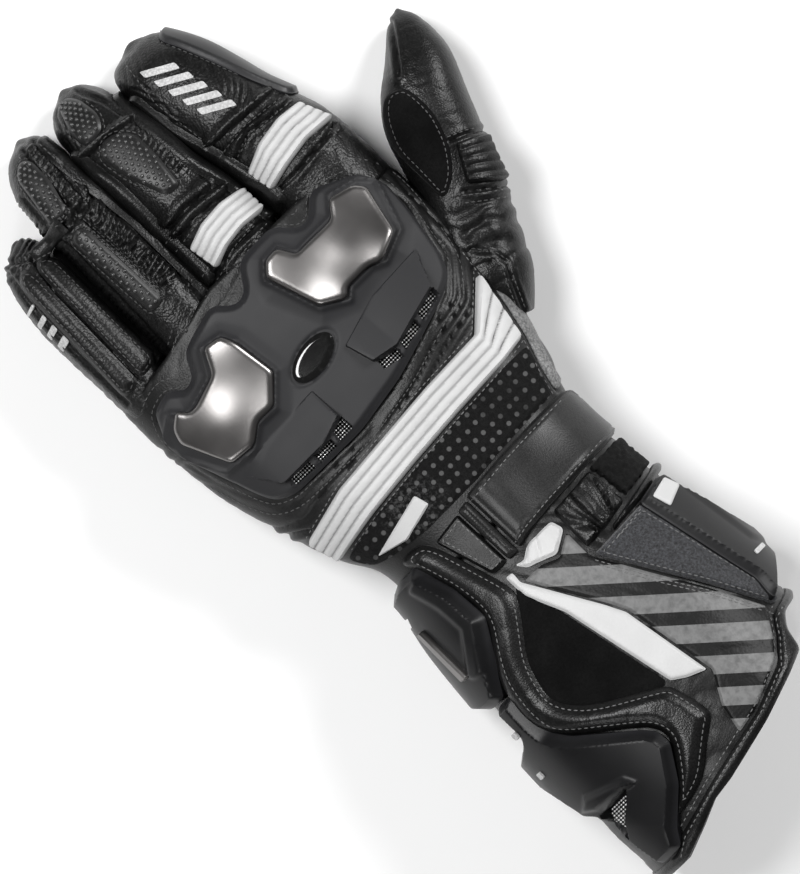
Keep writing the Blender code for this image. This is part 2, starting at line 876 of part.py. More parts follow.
def make_wrist():
    """The perforated panel, its small label, the grey edge piping, and the wrist strap with its anchor and keeper."""
    for name, outline, start, thickness, low, slot in (
        ("perforated_panel", PERFORATED_OUTLINE, SEAM, PATCH, TOP_LOW, "suede"),
        ("side_label", LABEL_OUTLINE, 2 * SEAM + PATCH, TRIM, TOP_LOW, "white_leather"),
        ("side_piping", PIPING_OUTLINE, SEAM, PATCH, PIPING_LOW, "grey_print"),
        ("wrist_strap", STRAP_OUTLINE, SEAM, STRAP, SIDE_LOW, "leather"),
        ("strap_anchor", ANCHOR_OUTLINE, SEAM, PAD, TOP_LOW, "leather"),
        ("strap_keeper", KEEPER_OUTLINE, SEAM, ROLL, TOP_LOW, "leather"),
    ):
        paint(draped(name, ["body"], outline, start, thickness, place, low), slot)


def make_wrist_guards():
    """The hard guards on the outer side of the cuff, inside a padded surround."""
    paint(draped("guard_surround", ["body"], SURROUND_OUTLINE, SEAM, ROLL), "leather")
    upper = draped("wrist_guard_upper", ["body"], UPPER_GUARD, SEAM, WRIST_GUARD, place, SIDE_LOW)
    paint(upper, "moulded_black")
    insert = draped("guard_insert", ["body"], INSERT_OUTLINE, 2 * SEAM + WRIST_GUARD, PATCH)
    paint(insert, "satin_metal")
    scoop = [(GUARD_SCOOP, WRIST_GUARD + HUMP)]
    lower = draped("wrist_guard_lower", ["body"], LOWER_GUARD, SEAM, WRIST_GUARD, place, SIDE_LOW, scoop)
    recess(lower, "body", GUARD_MESH, 2 * SEAM + MESH)
    window(lower, GUARD_WINDOW)
    paint(lower, "moulded_black")
    paint(draped("guard_mesh", ["body"], GUARD_MESH, SEAM, MESH), "silver_mesh")


def make_cuff_trim():
    """What covers the cuff's back: the pale stripe, the printed panel, the closing flap and the bound edge."""
    for name, outline, start, thickness, low, slot in (
        ("cuff_stripe", STRIPE_OUTLINE, SEAM, PATCH, TOP_LOW, "white_leather"),
        ("printed_panel", PRINT_OUTLINE, SEAM, PATCH, TOP_LOW, "grey_print"),
        ("strap_tab", TAB_OUTLINE, SEAM, PATCH, TOP_LOW, "white_leather"),
        ("hook_patch", HOOK_OUTLINE, SEAM, PATCH, SIDE_LOW, "velour"),
        ("flap_edge", FLAP_EDGE_OUTLINE, SEAM, STRAP, SIDE_LOW, "leather"),
        ("flap_velour", VELOUR_OUTLINE, SEAM, STRAP, SIDE_LOW, "velour"),
        ("flap_guard", FLAP_GUARD_OUTLINE, SEAM, FLAP_GUARD, SIDE_LOW, "moulded_black"),
        ("flap_label", FLAP_LABEL_OUTLINE, 2 * SEAM + FLAP_GUARD, TRIM, SIDE_LOW, "white_leather"),
        ("cuff_binding", CUFF_END + BINDING_LINE, SEAM, PATCH, FLOOR_LOW, "leather"),
    ):
        paint(draped(name, ["body"], outline, start, thickness, place, low), slot)


def paint(obj, slot):
    material = bpy.data.materials.get(slot)
    if material is None:
        colour, roughness, metallic = COLOURS[slot]
        material = bpy.data.materials.new(slot)
        material.use_nodes = True
        shader = material.node_tree.nodes["Principled BSDF"]
        shader.inputs["Base Color"].default_value = (*colour, 1)
        shader.inputs["Roughness"].default_value = roughness
        shader.inputs["Metallic"].default_value = metallic
        material.diffuse_color = (*colour, 1)
    obj.data.materials.clear()
    obj.data.materials.append(material)


for old in list(bpy.data.objects):
    bpy.data.objects.remove(old)
PARTS = bpy.data.collections.new("racing_glove")
bpy.context.scene.collection.children.link(PARTS)
TUBES = {"body": (body_rings(), True, True), "thumb": (thumb_rings(), True, False)}
TUBES.update({name: (finger_rings(rows), True, False) for name, rows in FINGERS.items()})
make_shells()
make_knuckle_guard()
make_stretch_panels()
make_finger_pads()
make_wrist()
make_wrist_guards()
make_cuff_trim()
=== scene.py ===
import math

import bpy
import numpy as np
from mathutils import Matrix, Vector
from mathutils.geometry import delaunay_2d_cdt


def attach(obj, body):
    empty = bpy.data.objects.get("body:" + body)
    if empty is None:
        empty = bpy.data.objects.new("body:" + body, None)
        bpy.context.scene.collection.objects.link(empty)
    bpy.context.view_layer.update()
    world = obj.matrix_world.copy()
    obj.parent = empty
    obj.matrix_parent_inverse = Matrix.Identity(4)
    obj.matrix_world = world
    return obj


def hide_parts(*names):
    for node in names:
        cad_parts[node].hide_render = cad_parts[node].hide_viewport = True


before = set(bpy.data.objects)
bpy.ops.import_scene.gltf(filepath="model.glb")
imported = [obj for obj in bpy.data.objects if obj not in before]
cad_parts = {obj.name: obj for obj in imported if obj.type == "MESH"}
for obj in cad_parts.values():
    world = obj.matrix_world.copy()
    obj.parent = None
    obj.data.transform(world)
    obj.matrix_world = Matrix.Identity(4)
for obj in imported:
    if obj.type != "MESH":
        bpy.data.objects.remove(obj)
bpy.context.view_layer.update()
bpy.ops.object.select_all(action="DESELECT")


# The studio: a matt, pale floor, one large soft box overhead with two weaker ones at the sides, and the
# camera. The camera looks straight down, turned as the photograph is, on a long lens.
def linear(hex_colour, alpha=1):
    """The linear colour of an sRGB hex value."""
    parts = [int(hex_colour[i:i + 2], 16) / 255 for i in (1, 3, 5)]
    parts = [c / 12.92 if c <= 0.04045 else ((c + 0.055) / 1.055) ** 2.4 for c in parts]
    return (*parts, alpha)


def add(material, kind, settings, inputs):
    """Adds a node with its settings. An input takes a value, or the socket of another node."""
    tree = material.node_tree
    made = tree.nodes.new("ShaderNode" + kind)
    for name, value in settings.items():
        setattr(made, name, value)
    for name, value in inputs.items():
        if isinstance(value, bpy.types.NodeSocket):
            tree.links.new(value, made.inputs[name])
        else:
            made.inputs[name].default_value = value
    return made


def start_material(name, roughness, **values):
    """A material with one Principled shader, and the place on the object in metres."""
    material = bpy.data.materials.new(name)
    material.use_nodes = True
    shader = material.node_tree.nodes["Principled BSDF"]
    shader.inputs["Roughness"].default_value = roughness
    for socket, value in values.items():
        shader.inputs[socket.replace("_", " ")].default_value = value
    where = add(material, "TexCoord", {}, {})
    return material, shader, where.outputs["Object"]


def join(material, source, shader, socket):
    material.node_tree.links.new(source, shader.inputs[socket])


def maths(material, operation, *values):
    """The result of a sum of sockets and numbers."""
    return add(material, "Math", {"operation": operation}, dict(enumerate(values))).outputs[0]


def speckle(material, place, scale, detail, roughness=0.5):
    """Noise with scale bumps to a metre."""
    inputs = {"Vector": place, "Scale": scale, "Detail": detail, "Roughness": roughness}
    return add(material, "TexNoise", {}, inputs).outputs["Fac"]


def remap(material, value, low, high, to_low=0.0, to_high=1.0):
    """A value that runs from to_low to to_high as another rises from low to high."""
    inputs = {"Value": value, "From Min": low, "From Max": high, "To Min": to_low, "To Max": to_high}
    return add(material, "MapRange", {}, inputs).outputs["Result"]


def ramp(material, value, low, low_colour, high, high_colour):
    """A colour that runs between two hex values as a value rises from low to high."""
    made = add(material, "ValToRGB", {}, {"Fac": value})
    for stop, position, colour in zip(made.color_ramp.elements, (low, high), (low_colour, high_colour)):
        stop.position = position
        stop.color = linear(colour)
    return made.outputs["Color"]


def roughen(material, shader, height, distance, strength):
    """A bumped surface, distance metres deep where the height is 1."""
    bump = add(material, "Bump", {}, {"Height": height, "Distance": distance, "Strength": strength})
    join(material, bump.outputs["Normal"], shader, "Normal")


def mix(material, share, first, second):
    """One colour turning into another as a share rises."""
    return add(material, "Mix", {"data_type": "RGBA"}, {0: share, 6: first, 7: second}).outputs[2]


def plain_material(name, roughness, grain, colours, bump=None, **values):
    """A material with one grain: its scale and detail, its stops of colour, and its depth and strength."""
    material, shader, place = start_material(name, roughness, **values)
    speckled = speckle(material, place, *grain)
    join(material, ramp(material, speckled, *colours), shader, "Base Color")
    if bump:
        roughen(material, shader, speckled, *bump)
    return material


bpy.ops.mesh.primitive_plane_add(size=8, location=(0, 0, -0.0004))
floor = bpy.context.object
floor.name = "floor"
bpy.ops.object.transform_apply(location=True)
# Matt pale paper, with mottling too faint to see as a pattern
floor.data.materials.append(plain_material("matt_floor_paper", 0.85, (6.0, 3.0),
                                           (0, "#f1f1f1", 1, "#f6f6f6")))
for name, location, size, power in (
    ("soft_box_top", (-0.75, 1.5, 2.9), 1.6, 108),
    ("soft_box_left", (-2.2, -1.0, 1.5), 0.8, 14),
    ("soft_box_right", (2.2, 0.2, 1.7), 1.0, 64),
):
    bpy.ops.object.light_add(type="AREA", location=location)
    lamp = bpy.context.object
    lamp.name = name
    lamp.data.shape = "DISK"
    lamp.data.size = size
    lamp.data.energy = power
    lamp.rotation_euler = Vector(location).to_track_quat("Z", "Y").to_euler()
world = bpy.data.worlds.new("studio")
world.use_nodes = True
world.node_tree.nodes["Background"].inputs["Color"].default_value = linear("#ffffff")
world.node_tree.nodes["Background"].inputs["Strength"].default_value = 0.13
bpy.context.scene.world = world
bpy.context.scene.view_settings.view_transform = "Standard"
CAMERA_PLACE = (-0.00798, 0.03515, 4.483)
CAMERA_TURN = math.radians(-45)
bpy.ops.object.camera_add(location=CAMERA_PLACE, rotation=(0, 0, CAMERA_TURN))
camera = bpy.context.object
camera.name = "camera"
camera.data.lens = 600
camera.data.sensor_width = 36
bpy.context.scene.camera = camera


# The leather body of the glove: two shells of black cowhide, 2 mm thick, cut to shape and sewn at the wrist.
# Everything else lies on this skin, so its sections, in millimetres, are worked out first.
MM = 0.001
BODY_ROWS = [
    (-124, -47, 37.5, 74, 0),
    (-104, -47.5, 39.5, 73, 0),
    (-84, -48, 42, 71, 0),
    (-62, -47.5, 42.5, 68, 0),
    (-42, -46, 41.8, 64, 0),
    (-20, -43.8, 39, 58, 0),
    (0, -40.6, 37.6, 52, 0),
    (10, -41.5, 37.8, 50.5, 0),
    (20, -47, 42.2, 49.5, 0),
    (35, -53, 44.8, 48, 0),
    (50, -57.5, 46.6, 46.5, 0),
    (70, -62, 49.4, 44, 0),
    (90, -63, 49.4, 41.5, 0),
    (104, -62.8, 48.6, 39, 0),
    (114, -62.5, 48.4, 37.5, 0),
]
FINGER_LINE = [(-80, 98), (-41.8, 103), (-17, 108.6), (70, 108.6)]
CUFF_END = [
    (-70, -117.6), (-37, -117.3), (-26, -113.2), (-18, -109.8), (-10, -108.7), (10, -104), (25, -99),
    (32.4, -96), (33.8, -89), (37, -85), (70, -80.4),
]
WALL = 2.0
ROW_STEP = 0.5
SIDE_COLUMNS = 96
DENSE_SHARE = 0.62
RIM_RADIUS = 0.9


def curve_through(points, last_tangent=None):
    """Points every quarter of a millimetre on the smooth curve through the given ones."""
    points = np.array(points, float)
    gaps = np.linalg.norm(np.diff(points, axis=0), axis=1)
    slopes = np.diff(points, axis=0) / gaps[:, None]
    tangents = np.empty_like(points)
    tangents[0], tangents[-1] = slopes[0], slopes[-1]
    shares = (gaps[:-1] / (gaps[:-1] + gaps[1:]))[:, None]
    tangents[1:-1] = slopes[:-1] * (1 - shares) + slopes[1:] * shares
    if last_tangent is not None:
        tangents[-1] = last_tangent
    run = np.concatenate([[0], np.cumsum(gaps)])
    at = np.linspace(0, run[-1], int(run[-1] * 4) + 2)
    i = np.clip(np.searchsorted(run, at, side="right") - 1, 0, len(gaps) - 1)
    t, gap = ((at - run[i]) / gaps[i])[:, None], gaps[i][:, None]
    first = (2 * t**3 - 3 * t**2 + 1) * points[i] + (t**3 - 2 * t**2 + t) * gap * tangents[i]
    return first + (-2 * t**3 + 3 * t**2) * points[i + 1] + (t**3 - t**2) * gap * tangents[i + 1]


def make_skin(rows, tip_reach=0, root=(0, 0), lean=0):
    """The smooth tube through the section rows, as a grid of places and outward directions.

    A row of the grid is one section. Its columns run from the underside's middle over the crest and back.
    A tube with a tip closes in a dome. Root and lean turn a tube's own grid into the glove's.
    """
    rows = [list(map(float, row)) for row in rows]
    last_tangent = None
    if tip_reach:
        along, left, right, top, bottom = rows[-1]
        middle, centre = (left + right) / 2, (top + bottom) / 2
        rows.append([along + tip_reach, middle, middle, centre, centre])
        last_tangent = np.array([0, middle - left, middle - right, centre - top, centre - bottom])
        last_tangent /= np.linalg.norm(last_tangent)
    fine = curve_through(rows, last_tangent)
    crest = np.stack([(fine[:, 1] + fine[:, 2]) / 2, fine[:, 0], fine[:, 3]], 1)
    run = np.concatenate([[0], np.cumsum(np.linalg.norm(np.diff(crest, axis=0), axis=1))])
    steps = np.linspace(0, run[-1], int(run[-1] / ROW_STEP) + 1)
    even = np.stack([np.interp(steps, run, fine[:, k]) for k in range(5)], 1)
    angles = np.radians(np.linspace(90, -90, 181))
    reach = np.cos(angles).clip(0) ** 0.76
    up = np.sign(np.sin(angles)) * np.abs(np.sin(angles)) ** np.where(angles > 0, 0.76, 0.5)
    shares = np.linspace(0, 1, SIDE_COLUMNS + 1)
    grid = np.empty((len(even), 2 * SIDE_COLUMNS + 1, 3))
    half = np.empty(len(even))
    for i, (along, left, right, top, bottom) in enumerate(even):
        middle, width = (left + right) / 2, max((right - left) / 2, 1e-4)
        centre = bottom + 0.42 * (top - bottom)
        z = np.where(up > 0, centre + (top - centre) * up, centre + (centre - bottom) * 1.12 * up)
        z = np.maximum(z, bottom)
        x = reach * width
        length = np.concatenate([[0], np.cumsum(np.hypot(np.diff(x), np.diff(z)))])
        half[i] = max(length[-1], 1e-4)
        xs, zs = np.interp(shares * half[i], length, x), np.interp(shares * half[i], length, z)
        grid[i, :, 0] = middle + np.concatenate([-xs[::-1], xs[1:]])
        grid[i, :, 1] = along
        grid[i, :, 2] = np.concatenate([zs[::-1], zs[1:]])
    out = np.cross(np.gradient(grid, axis=1), np.gradient(grid, axis=0))
    out /= np.maximum(np.linalg.norm(out, axis=2, keepdims=True), 1e-9)
    if tip_reach:
        out[-1] = (0, 1, 0)
    return {
        "grid": grid, "out": out, "half": half, "along": even[:, 0], "step": run[-1] / (len(steps) - 1),
        "root": root, "lean": lean,
    }


def on_grid(skin, across, v):
    """Places and outward directions at shares across the skin, from -1 to 1, and distances v along it."""
    rows, columns = skin["grid"].shape[:2]
    r = np.clip(np.asarray(v) / skin["step"], 0, rows - 1.001)
    c = np.clip((np.asarray(across) + 1) / 2 * (columns - 1), 0, columns - 1.001)
    i, j = r.astype(int), c.astype(int)
    r, c = (r - i)[..., None], (c - j)[..., None]
    found = []
    for field in (skin["grid"], skin["out"]):
        low = field[i, j] * (1 - c) + field[i, j + 1] * c
        high = field[i + 1, j] * (1 - c) + field[i + 1, j + 1] * c
        found.append(low * (1 - r) + high * r)
    return found


def on_skin(skin, s, v):
    """Places and outward directions at s millimetres across from the crest and v along the skin."""
    half = np.interp(np.asarray(v) / skin["step"], np.arange(len(skin["half"])), skin["half"])
    return on_grid(skin, np.clip(np.asarray(s) / half, -1, 1), v)


def in_metres(skin, points):
    """The skin's own millimetres as the glove's metres."""
    points = np.asarray(points, float)
    lean, (root_x, root_y) = skin["lean"], skin["root"]
    x = root_x + points[..., 0] * math.cos(lean) + points[..., 1] * math.sin(lean)
    y = root_y - points[..., 0] * math.sin(lean) + points[..., 1] * math.cos(lean)
    return np.stack([x, y, points[..., 2]], -1) * MM


def to_skin(skin, points, low, lift=0):
    """Where points seen from above lie on the skin, as s and v. Past its edge they wrap down to a low height.

    Points of a thick piece are looked up on the skin moved out by lift.
    """
    grid, found = skin["grid"] + skin["out"] * lift, []
    rising = np.arange(len(grid))[:np.argmax(skin["along"]) + 1]
    for x, y in points:
        r = np.interp(y, skin["along"][rising], rising)
        i = min(int(r), len(grid) - 2)
        section = grid[i] * (1 - r + i) + grid[i + 1] * (r - i)
        left, right = np.argmin(section[:, 0]), np.argmax(section[:, 0])
        if section[left, 0] + 0.05 < x < section[right, 0] - 0.05:
            column = np.interp(x, section[left:right + 1, 0], np.arange(left, right + 1))
        elif x <= section[left, 0] + 0.05:
            column = np.interp(low, section[:left + 1, 2], np.arange(left + 1))
        else:
            column = np.interp(-low, -section[right:, 2], np.arange(right, len(section)))
        half = skin["half"][i] * (1 - r + i) + skin["half"][i + 1] * (r - i)
        found.append(((column / SIDE_COLUMNS - 1) * half, r * skin["step"]))
    return np.array(found)


LATTICE = np.random.default_rng(7).random((128, 128))


def noise(a, b):
    """Smooth noise from 0 to 1, one bump to a unit."""
    i, j = np.floor(a).astype(int), np.floor(b).astype(int)
    a, b = a - i, b - j
    a, b = a * a * (3 - 2 * a), b * b * (3 - 2 * b)
    i, j, k, m = i % 128, j % 128, (i + 1) % 128, (j + 1) % 128
    low = LATTICE[i, j] * (1 - a) + LATTICE[k, j] * a
    return low * (1 - b) + (LATTICE[i, m] * (1 - a) + LATTICE[k, m] * a) * b


def turned_by(x, y, turn):
    """A place along and across axes that are turned by an angle."""
    return x * math.cos(turn) + y * math.sin(turn), y * math.cos(turn) - x * math.sin(turn)


def creases(x, y, turn, pitch, length, shift=0.0):
    """Soft rolls with narrow valleys, from 0 down to -1, running at an angle, pitch apart and length long."""
    a, b = turned_by(x, y, math.radians(turn))
    a, b = a / length + shift, b / pitch + shift * 1.7
    b = b + 1.1 * noise(a * 0.9 + 31, b * 0.35 + 11)
    first = 1 - np.abs(2 * noise(a, b) - 1)
    second = 1 - np.abs(2 * noise(a * 1.9 + 5, b * 2.1 + 3) - 1)
    return -0.72 * first**3 - 0.28 * second**2


def closed(line):
    """A line of joined segments that ends where it starts."""
    return [tuple(point) for point in line] + [tuple(line[0])]


def distance(x, y, line):
    """How far points are from a line of joined segments."""
    nearest = np.full(np.shape(x), 1e9)
    for (ax, ay), (bx, by) in zip(line, line[1:]):
        run = max((bx - ax) ** 2 + (by - ay) ** 2, 1e-9)
        t = np.clip(((x - ax) * (bx - ax) + (y - ay) * (by - ay)) / run, 0, 1)
        nearest = np.minimum(nearest, np.hypot(x - ax - t * (bx - ax), y - ay - t * (by - ay)))
    return nearest


def inside(x, y, outline):
    """True for points inside a closed outline."""
    found = np.zeros(np.shape(x), bool)
    line = closed(outline)
    for (ax, ay), (bx, by) in zip(line, line[1:]):
        if ay != by:
            found ^= ((ay > y) != (by > y)) & (x < (bx - ax) * (y - ay) / (by - ay) + ax)
    return found


def depth_in(x, y, outline):
    """How far points are inside a closed outline, negative outside it."""
    away = distance(x, y, closed(outline))
    return np.where(inside(x, y, outline), away, -away)


def ease(value, low, high):
    """0 below low, 1 above high, and a smooth rise between."""
    t = np.clip((value - low) / (high - low), 0, 1)
    return t * t * (3 - 2 * t)


def swell(base, tall=0.0, reach=1.0):
    """The rule of a piece base thick at its edge, that swells by tall within reach of it."""
    return lambda x, y, depth: base + tall * ease(depth, 0, reach)


def seam(x, y, line, depth=0.7, lip=0.35):
    """A sewn seam: a narrow groove with a soft lip on both sides."""
    away = distance(x, y, line)
    return -depth * np.exp(-(away / 0.55) ** 2) + lip * np.exp(-((away - 1.5) / 0.8) ** 2)


def new_piece(name, points, faces, material, slot, nodes=(), angle=38, attributes=None):
    """A closed mesh in metres as a piece of the glove, with its finish and the CAD nodes it stands for."""
    mesh = bpy.data.meshes.new(name)
    mesh.from_pydata(np.asarray(points).tolist(), [], [list(map(int, face)) for face in faces])
    mesh.update()
    for label, values in (attributes or {}).items():
        mesh.attributes.new(label, "FLOAT", "POINT").data.foreach_set("value",
            np.asarray(values, np.float32))
    piece = bpy.data.objects.new(name, mesh)
    bpy.context.scene.collection.objects.link(piece)
    bpy.context.view_layer.objects.active = piece
    piece.select_set(True)
    bpy.ops.object.mode_set(mode="EDIT")
    bpy.ops.mesh.select_all(action="SELECT")
    bpy.ops.mesh.normals_make_consistent(inside=False)
    bpy.ops.object.mode_set(mode="OBJECT")
    bpy.ops.object.shade_smooth_by_angle(angle=math.radians(angle))
    piece.select_set(False)
    mesh.materials.append(material)
    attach(piece, "root")
    if nodes:
        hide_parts(*nodes)
    return piece


def crossing(skin, across, line):
    """The distance along the skin at which a column meets a line seen from above, its x rising."""
    rows = np.arange(len(skin["along"])) * skin["step"]
    x = on_grid(skin, np.full(len(rows), across), rows)[0][:, 0]
    over = skin["along"] - np.interp(x, [p[0] for p in line], [p[1] for p in line])
    i = int(np.argmax(over > 0)) if (over > 0).any() else len(rows) - 1
    if i == 0:
        return 0.0
    return rows[i - 1] + (rows[i] - rows[i - 1]) * (-over[i - 1]) / (over[i] - over[i - 1])


def make_shell(name, skin, start, end, relief, material, spacing, node):
    """A shell of leather between two lines: a dense face with its relief, rounded rims and a plain lining.

    Without an end line it closes at the skin's tip.
    """
    half = np.max(skin["half"])
    top = np.linspace(-DENSE_SHARE, DENSE_SHARE, 2 * int(DENSE_SHARE * half / spacing) + 1)
    below = np.linspace(DENSE_SHARE, 1, max(int((1 - DENSE_SHARE) * half / (3.4 * spacing)), 5) + 1)[1:]
    across = np.concatenate([-below[:-1][::-1], top, below])
    starts = np.array([crossing(skin, w, start) for w in across])
    tip = (len(skin["along"]) - 1) * skin["step"]
    ends = np.array([crossing(skin, w, end) if end else tip for w in across])
    count = int(np.median(ends - starts) / spacing)
    shares = np.linspace(0, 1, count + 1)
    v = starts[None] + (ends - starts)[None] * shares[:, None]
    w = np.broadcast_to(across, v.shape)
    place, out = on_grid(skin, w, v)
    rise = relief(place[..., 0], place[..., 1], place[..., 2])
    top_share = ease(out[..., 2], -0.35, 0.0)
    rise = rise * top_share
    for edge, used in ((v - starts, True), (ends - v, bool(end))):
        if used:
            rise = rise - 0.8 * np.clip(1 - edge / RIM_RADIUS, 0, 1) ** 2
    if not end:
        rise = rise * np.clip((ends - v) / 3, 0, 1)
    outer = place + out * rise[..., None]
    outer[..., 2] = np.maximum(outer[..., 2], 0)
    lining_rows = np.unique(np.linspace(0, count, 14).astype(int))
    lining = (place - out * WALL)[lining_rows]
    lining[..., 2] = np.maximum(lining[..., 2], WALL)
    columns, rows = len(across), count + 1
    points = [outer.reshape(-1, 3), lining.reshape(-1, 3)]
    base, faces = rows * columns, []

    def band(low, high):
        for j in range(columns):
            k = (j + 1) % columns
            faces.append((low + j, low + k, high + k, high + j))

    last = rows - 1 if end else rows - 2
    for i in range(last):
        band(i * columns, (i + 1) * columns)
    inner = len(lining_rows)
    inner_last = inner - 1 if end else inner - 2
    for i in range(inner_last):
        band(base + (i + 1) * columns, base + i * columns)
    band(base, 0)
    if end:
        band(last * columns, base + inner_last * columns)
    else:
        tips = [place[-1, columns // 2], place[-1, columns // 2] - np.array([0, WALL, 0])]
        points.append(np.array(tips))
        first = base + inner * columns
        for j in range(columns):
            k = (j + 1) % columns
            faces.append((last * columns + j, last * columns + k, first))
            faces.append((base + inner_last * columns + k, base + inner_last * columns + j, first + 1))
    points = np.concatenate(points)
    used = np.zeros(len(points), bool)
    for face in faces:
        used[list(face)] = True
    index = np.cumsum(used) - 1
    faces = [[index[i] for i in face] for face in faces]
    return new_piece(name, in_metres(skin, points[used]), faces, material, "leather", [node], 60)


def leather(name, colour, painted_top_highlight, roughness, grain_mm, depth_mm, crack=0.0):
    """Cowhide, pigmented black and lightly waxed: a pebbled grain with a painted highlight on its tops, in
    patches.

    The grain is drawn at grain_mm across and depth_mm deep, with creases where the hide was bent.
    """
    material, shader, place = start_material(name, roughness, Specular_IOR_Level=0.28)
    warp = add(material, "TexNoise", {}, {"Vector": place, "Scale": 0.35 / (grain_mm * MM), "Detail": 2.0})
    bent = add(material, "VectorMath", {"operation": "MULTIPLY_ADD"}, {
        0: warp.outputs["Color"], 1: (grain_mm * MM * 1.1,) * 3, 2: place,
    })
    cells = add(material, "TexVoronoi", {"feature": "SMOOTH_F1"}, {
        "Vector": bent.outputs[0], "Scale": 1 / (grain_mm * MM), "Smoothness": 0.5, "Randomness": 1.0,
    })
    veins = add(material, "TexNoise", {"noise_type": "RIDGED_MULTIFRACTAL"}, {
        "Vector": bent.outputs[0], "Scale": 0.22 / (grain_mm * MM), "Detail": 3.0, "Roughness": 0.55,
    })
    pores = speckle(material, place, 1 / (0.00045), 2.0)
    pebbles = maths(material, "MULTIPLY_ADD", cells.outputs["Distance"], -1.0, 1.0)
    with_veins = maths(material, "MULTIPLY_ADD", veins.outputs["Fac"], -0.25 - crack, pebbles)
    height = maths(material, "MULTIPLY_ADD", pores, 0.18, with_veins)
    roughen(material, shader, height, depth_mm * MM, 1.0)
    # Painted highlight and shade: the grain's tops are painted paler and its veins darker, in large random
    # patches.
    patches = speckle(material, place, 60.0, 4.0, 0.6)
    both = maths(material, "MULTIPLY", height, patches)
    tone = ramp(material, both, 0.12, colour, 0.52, painted_top_highlight)
    join(material, tone, shader, "Base Color")
    gloss = remap(material, patches, 0.25, 0.75, roughness - 0.07, roughness + 0.09)
    join(material, gloss, shader, "Roughness")
    return material


body = make_skin(BODY_ROWS)
black_cowhide = leather("black_cowhide", "#060606", "#121212", 0.42, 0.6, 0.045)


def long_folds(x, y, line, pitch, reach, tall):
    """Long soft folds that follow a line, fading out at reach from it."""
    away = distance(x, y, line)
    wander = 1.2 * noise(x / 17 + 5, y / 17 + 9)
    ridge = 1 - np.abs(2 * noise(away / pitch + wander, (x - y) / 34 + 7) - 1)
    return -tall * ridge**3 * (1 - ease(away, 0.5 * reach, reach))


def hand_relief(x, y, z):
    """Relief of the hand's back: creases round the guard, soft folds down to the wrist and two seams."""
    foot = [(-62, 74), (-56, 56), (-50, 46), (-43, 43), (-15, 42.6), (5, 45.8), (34, 54.6), (43, 64),
            (46, 84), (45, 98)]
    rise = long_folds(x, y, foot, 2.9, 16, 0.95) + 0.22 * creases(x, y, 35, 5.2, 16) * ease(y, 30, 44)
    rise = rise + 0.55 * creases(x, y, 10, 4.2, 14, 2.0) * ease(y, 97, 102)
    rise = rise + seam(x, y, [(-70, 30), (-56, 40), (-48, 34)], 0.8, 0.5)
    return rise + seam(x, y, [(48, 62), (45, 45), (41.6, 30), (38, 20), (36, 11)], 0.6, 0.4)


def cuff_relief(x, y, z):
    """Short deep wrinkles at the wrist and at the hem, where the cuff folds as the hand moves."""
    return 0.6 * creases(x, y, -50, 4.6, 15, 3.0) + 0.2 * creases(x, y, 20, 3.0, 10, 5.0)


wrist_seam = [(-80, -3.7), (70, -3.7)]
make_shell("hand_shell_leather", body, wrist_seam, FINGER_LINE, hand_relief, black_cowhide, 0.8,
           "hand_shell")
wrist_edge = [(-80, -4), (70, -4)]
make_shell("cuff_shell_leather", body, CUFF_END, wrist_edge, cuff_relief, black_cowhide, 0.8, "cuff_shell")


# The knuckle guard: a pad of injection-moulded TPU, 3.4 mm thick with two humps and two vent flaps, sewn
# down all round its rim. Moulded matt, so it is greyer than the leather, with a fine sparked texture and
# paler worn edges.
def evenly(points, spacing, looped=True):
    """Points at even steps along a line of joined segments."""
    points = np.array(points, float)
    if looped:
        points = np.concatenate([points, points[:1]])
    run = np.concatenate([[0], np.cumsum(np.linalg.norm(np.diff(points, axis=0), axis=1))])
    at = np.linspace(0, run[-1], max(int(round(run[-1] / spacing)), 3) + 1)
    if looped:
        at = at[:-1]
    return np.stack([np.interp(at, run, points[:, k]) for k in range(points.shape[1])], 1)


def rounded(outline, radius):
    """A closed outline with its corners rounded."""
    points = [np.array(point, float) for point in outline]
    made = []
    for before, corner, after in zip(points[-1:] + points[:-1], points, points[1:] + points[:1]):
        start = corner + (before - corner) * min(radius / np.linalg.norm(before - corner), 0.45)
        end = corner + (after - corner) * min(radius / np.linalg.norm(after - corner), 0.45)
        for t in np.linspace(0, 1, 6):
            made.append((1 - t) ** 2 * start + 2 * t * (1 - t) * corner + t * t * end)
    return made


def untangled(edge):
    """A closed line without the small loops where it crosses itself."""
    while True:
        step = np.roll(edge, -1, 0) - edge
        away = edge[None] - edge[:, None]
        side = step[:, None, 0] * away[..., 1] - step[:, None, 1] * away[..., 0]
        apart = side * np.roll(side, -1, 1) < 0
        pairs = np.argwhere(np.triu(apart & apart.T, 2))
        if not len(pairs):
            return edge
        first, last = pairs[0]
        loop = np.zeros(len(edge), bool)
        loop[first + 1:last + 1] = True
        edge = edge[~loop] if loop.sum() < len(edge) / 2 else edge[loop]


def triangles(points, edge_count):
    """The triangles between points, inside the closed line that the first of them make."""
    ring = [(i, (i + 1) % edge_count) for i in range(edge_count)]
    found = delaunay_2d_cdt([Vector(point) for point in points], ring, [], 0, 1e-6, True)
    crossed = [tuple(found[0][i]) for i, ids in enumerate(found[3]) if not ids]
    spare = iter(range(len(points), len(points) + len(crossed)))
    first = np.array([min(ids) if ids else next(spare) for ids in found[3]])
    points = np.array([*map(tuple, points), *crossed])
    faces = first[np.array(found[2])]
    middles = points[faces].mean(1)
    return points, faces[inside(middles[:, 0], middles[:, 1], points[:edge_count])]


def rim_edges(faces):
    """The edges that only one triangle has, each in its direction."""
    edges = set(map(tuple, faces[:, [0, 1, 1, 2, 2, 0]].reshape(-1, 2).tolist()))
    return {edge for edge in edges if edge[::-1] not in edges}


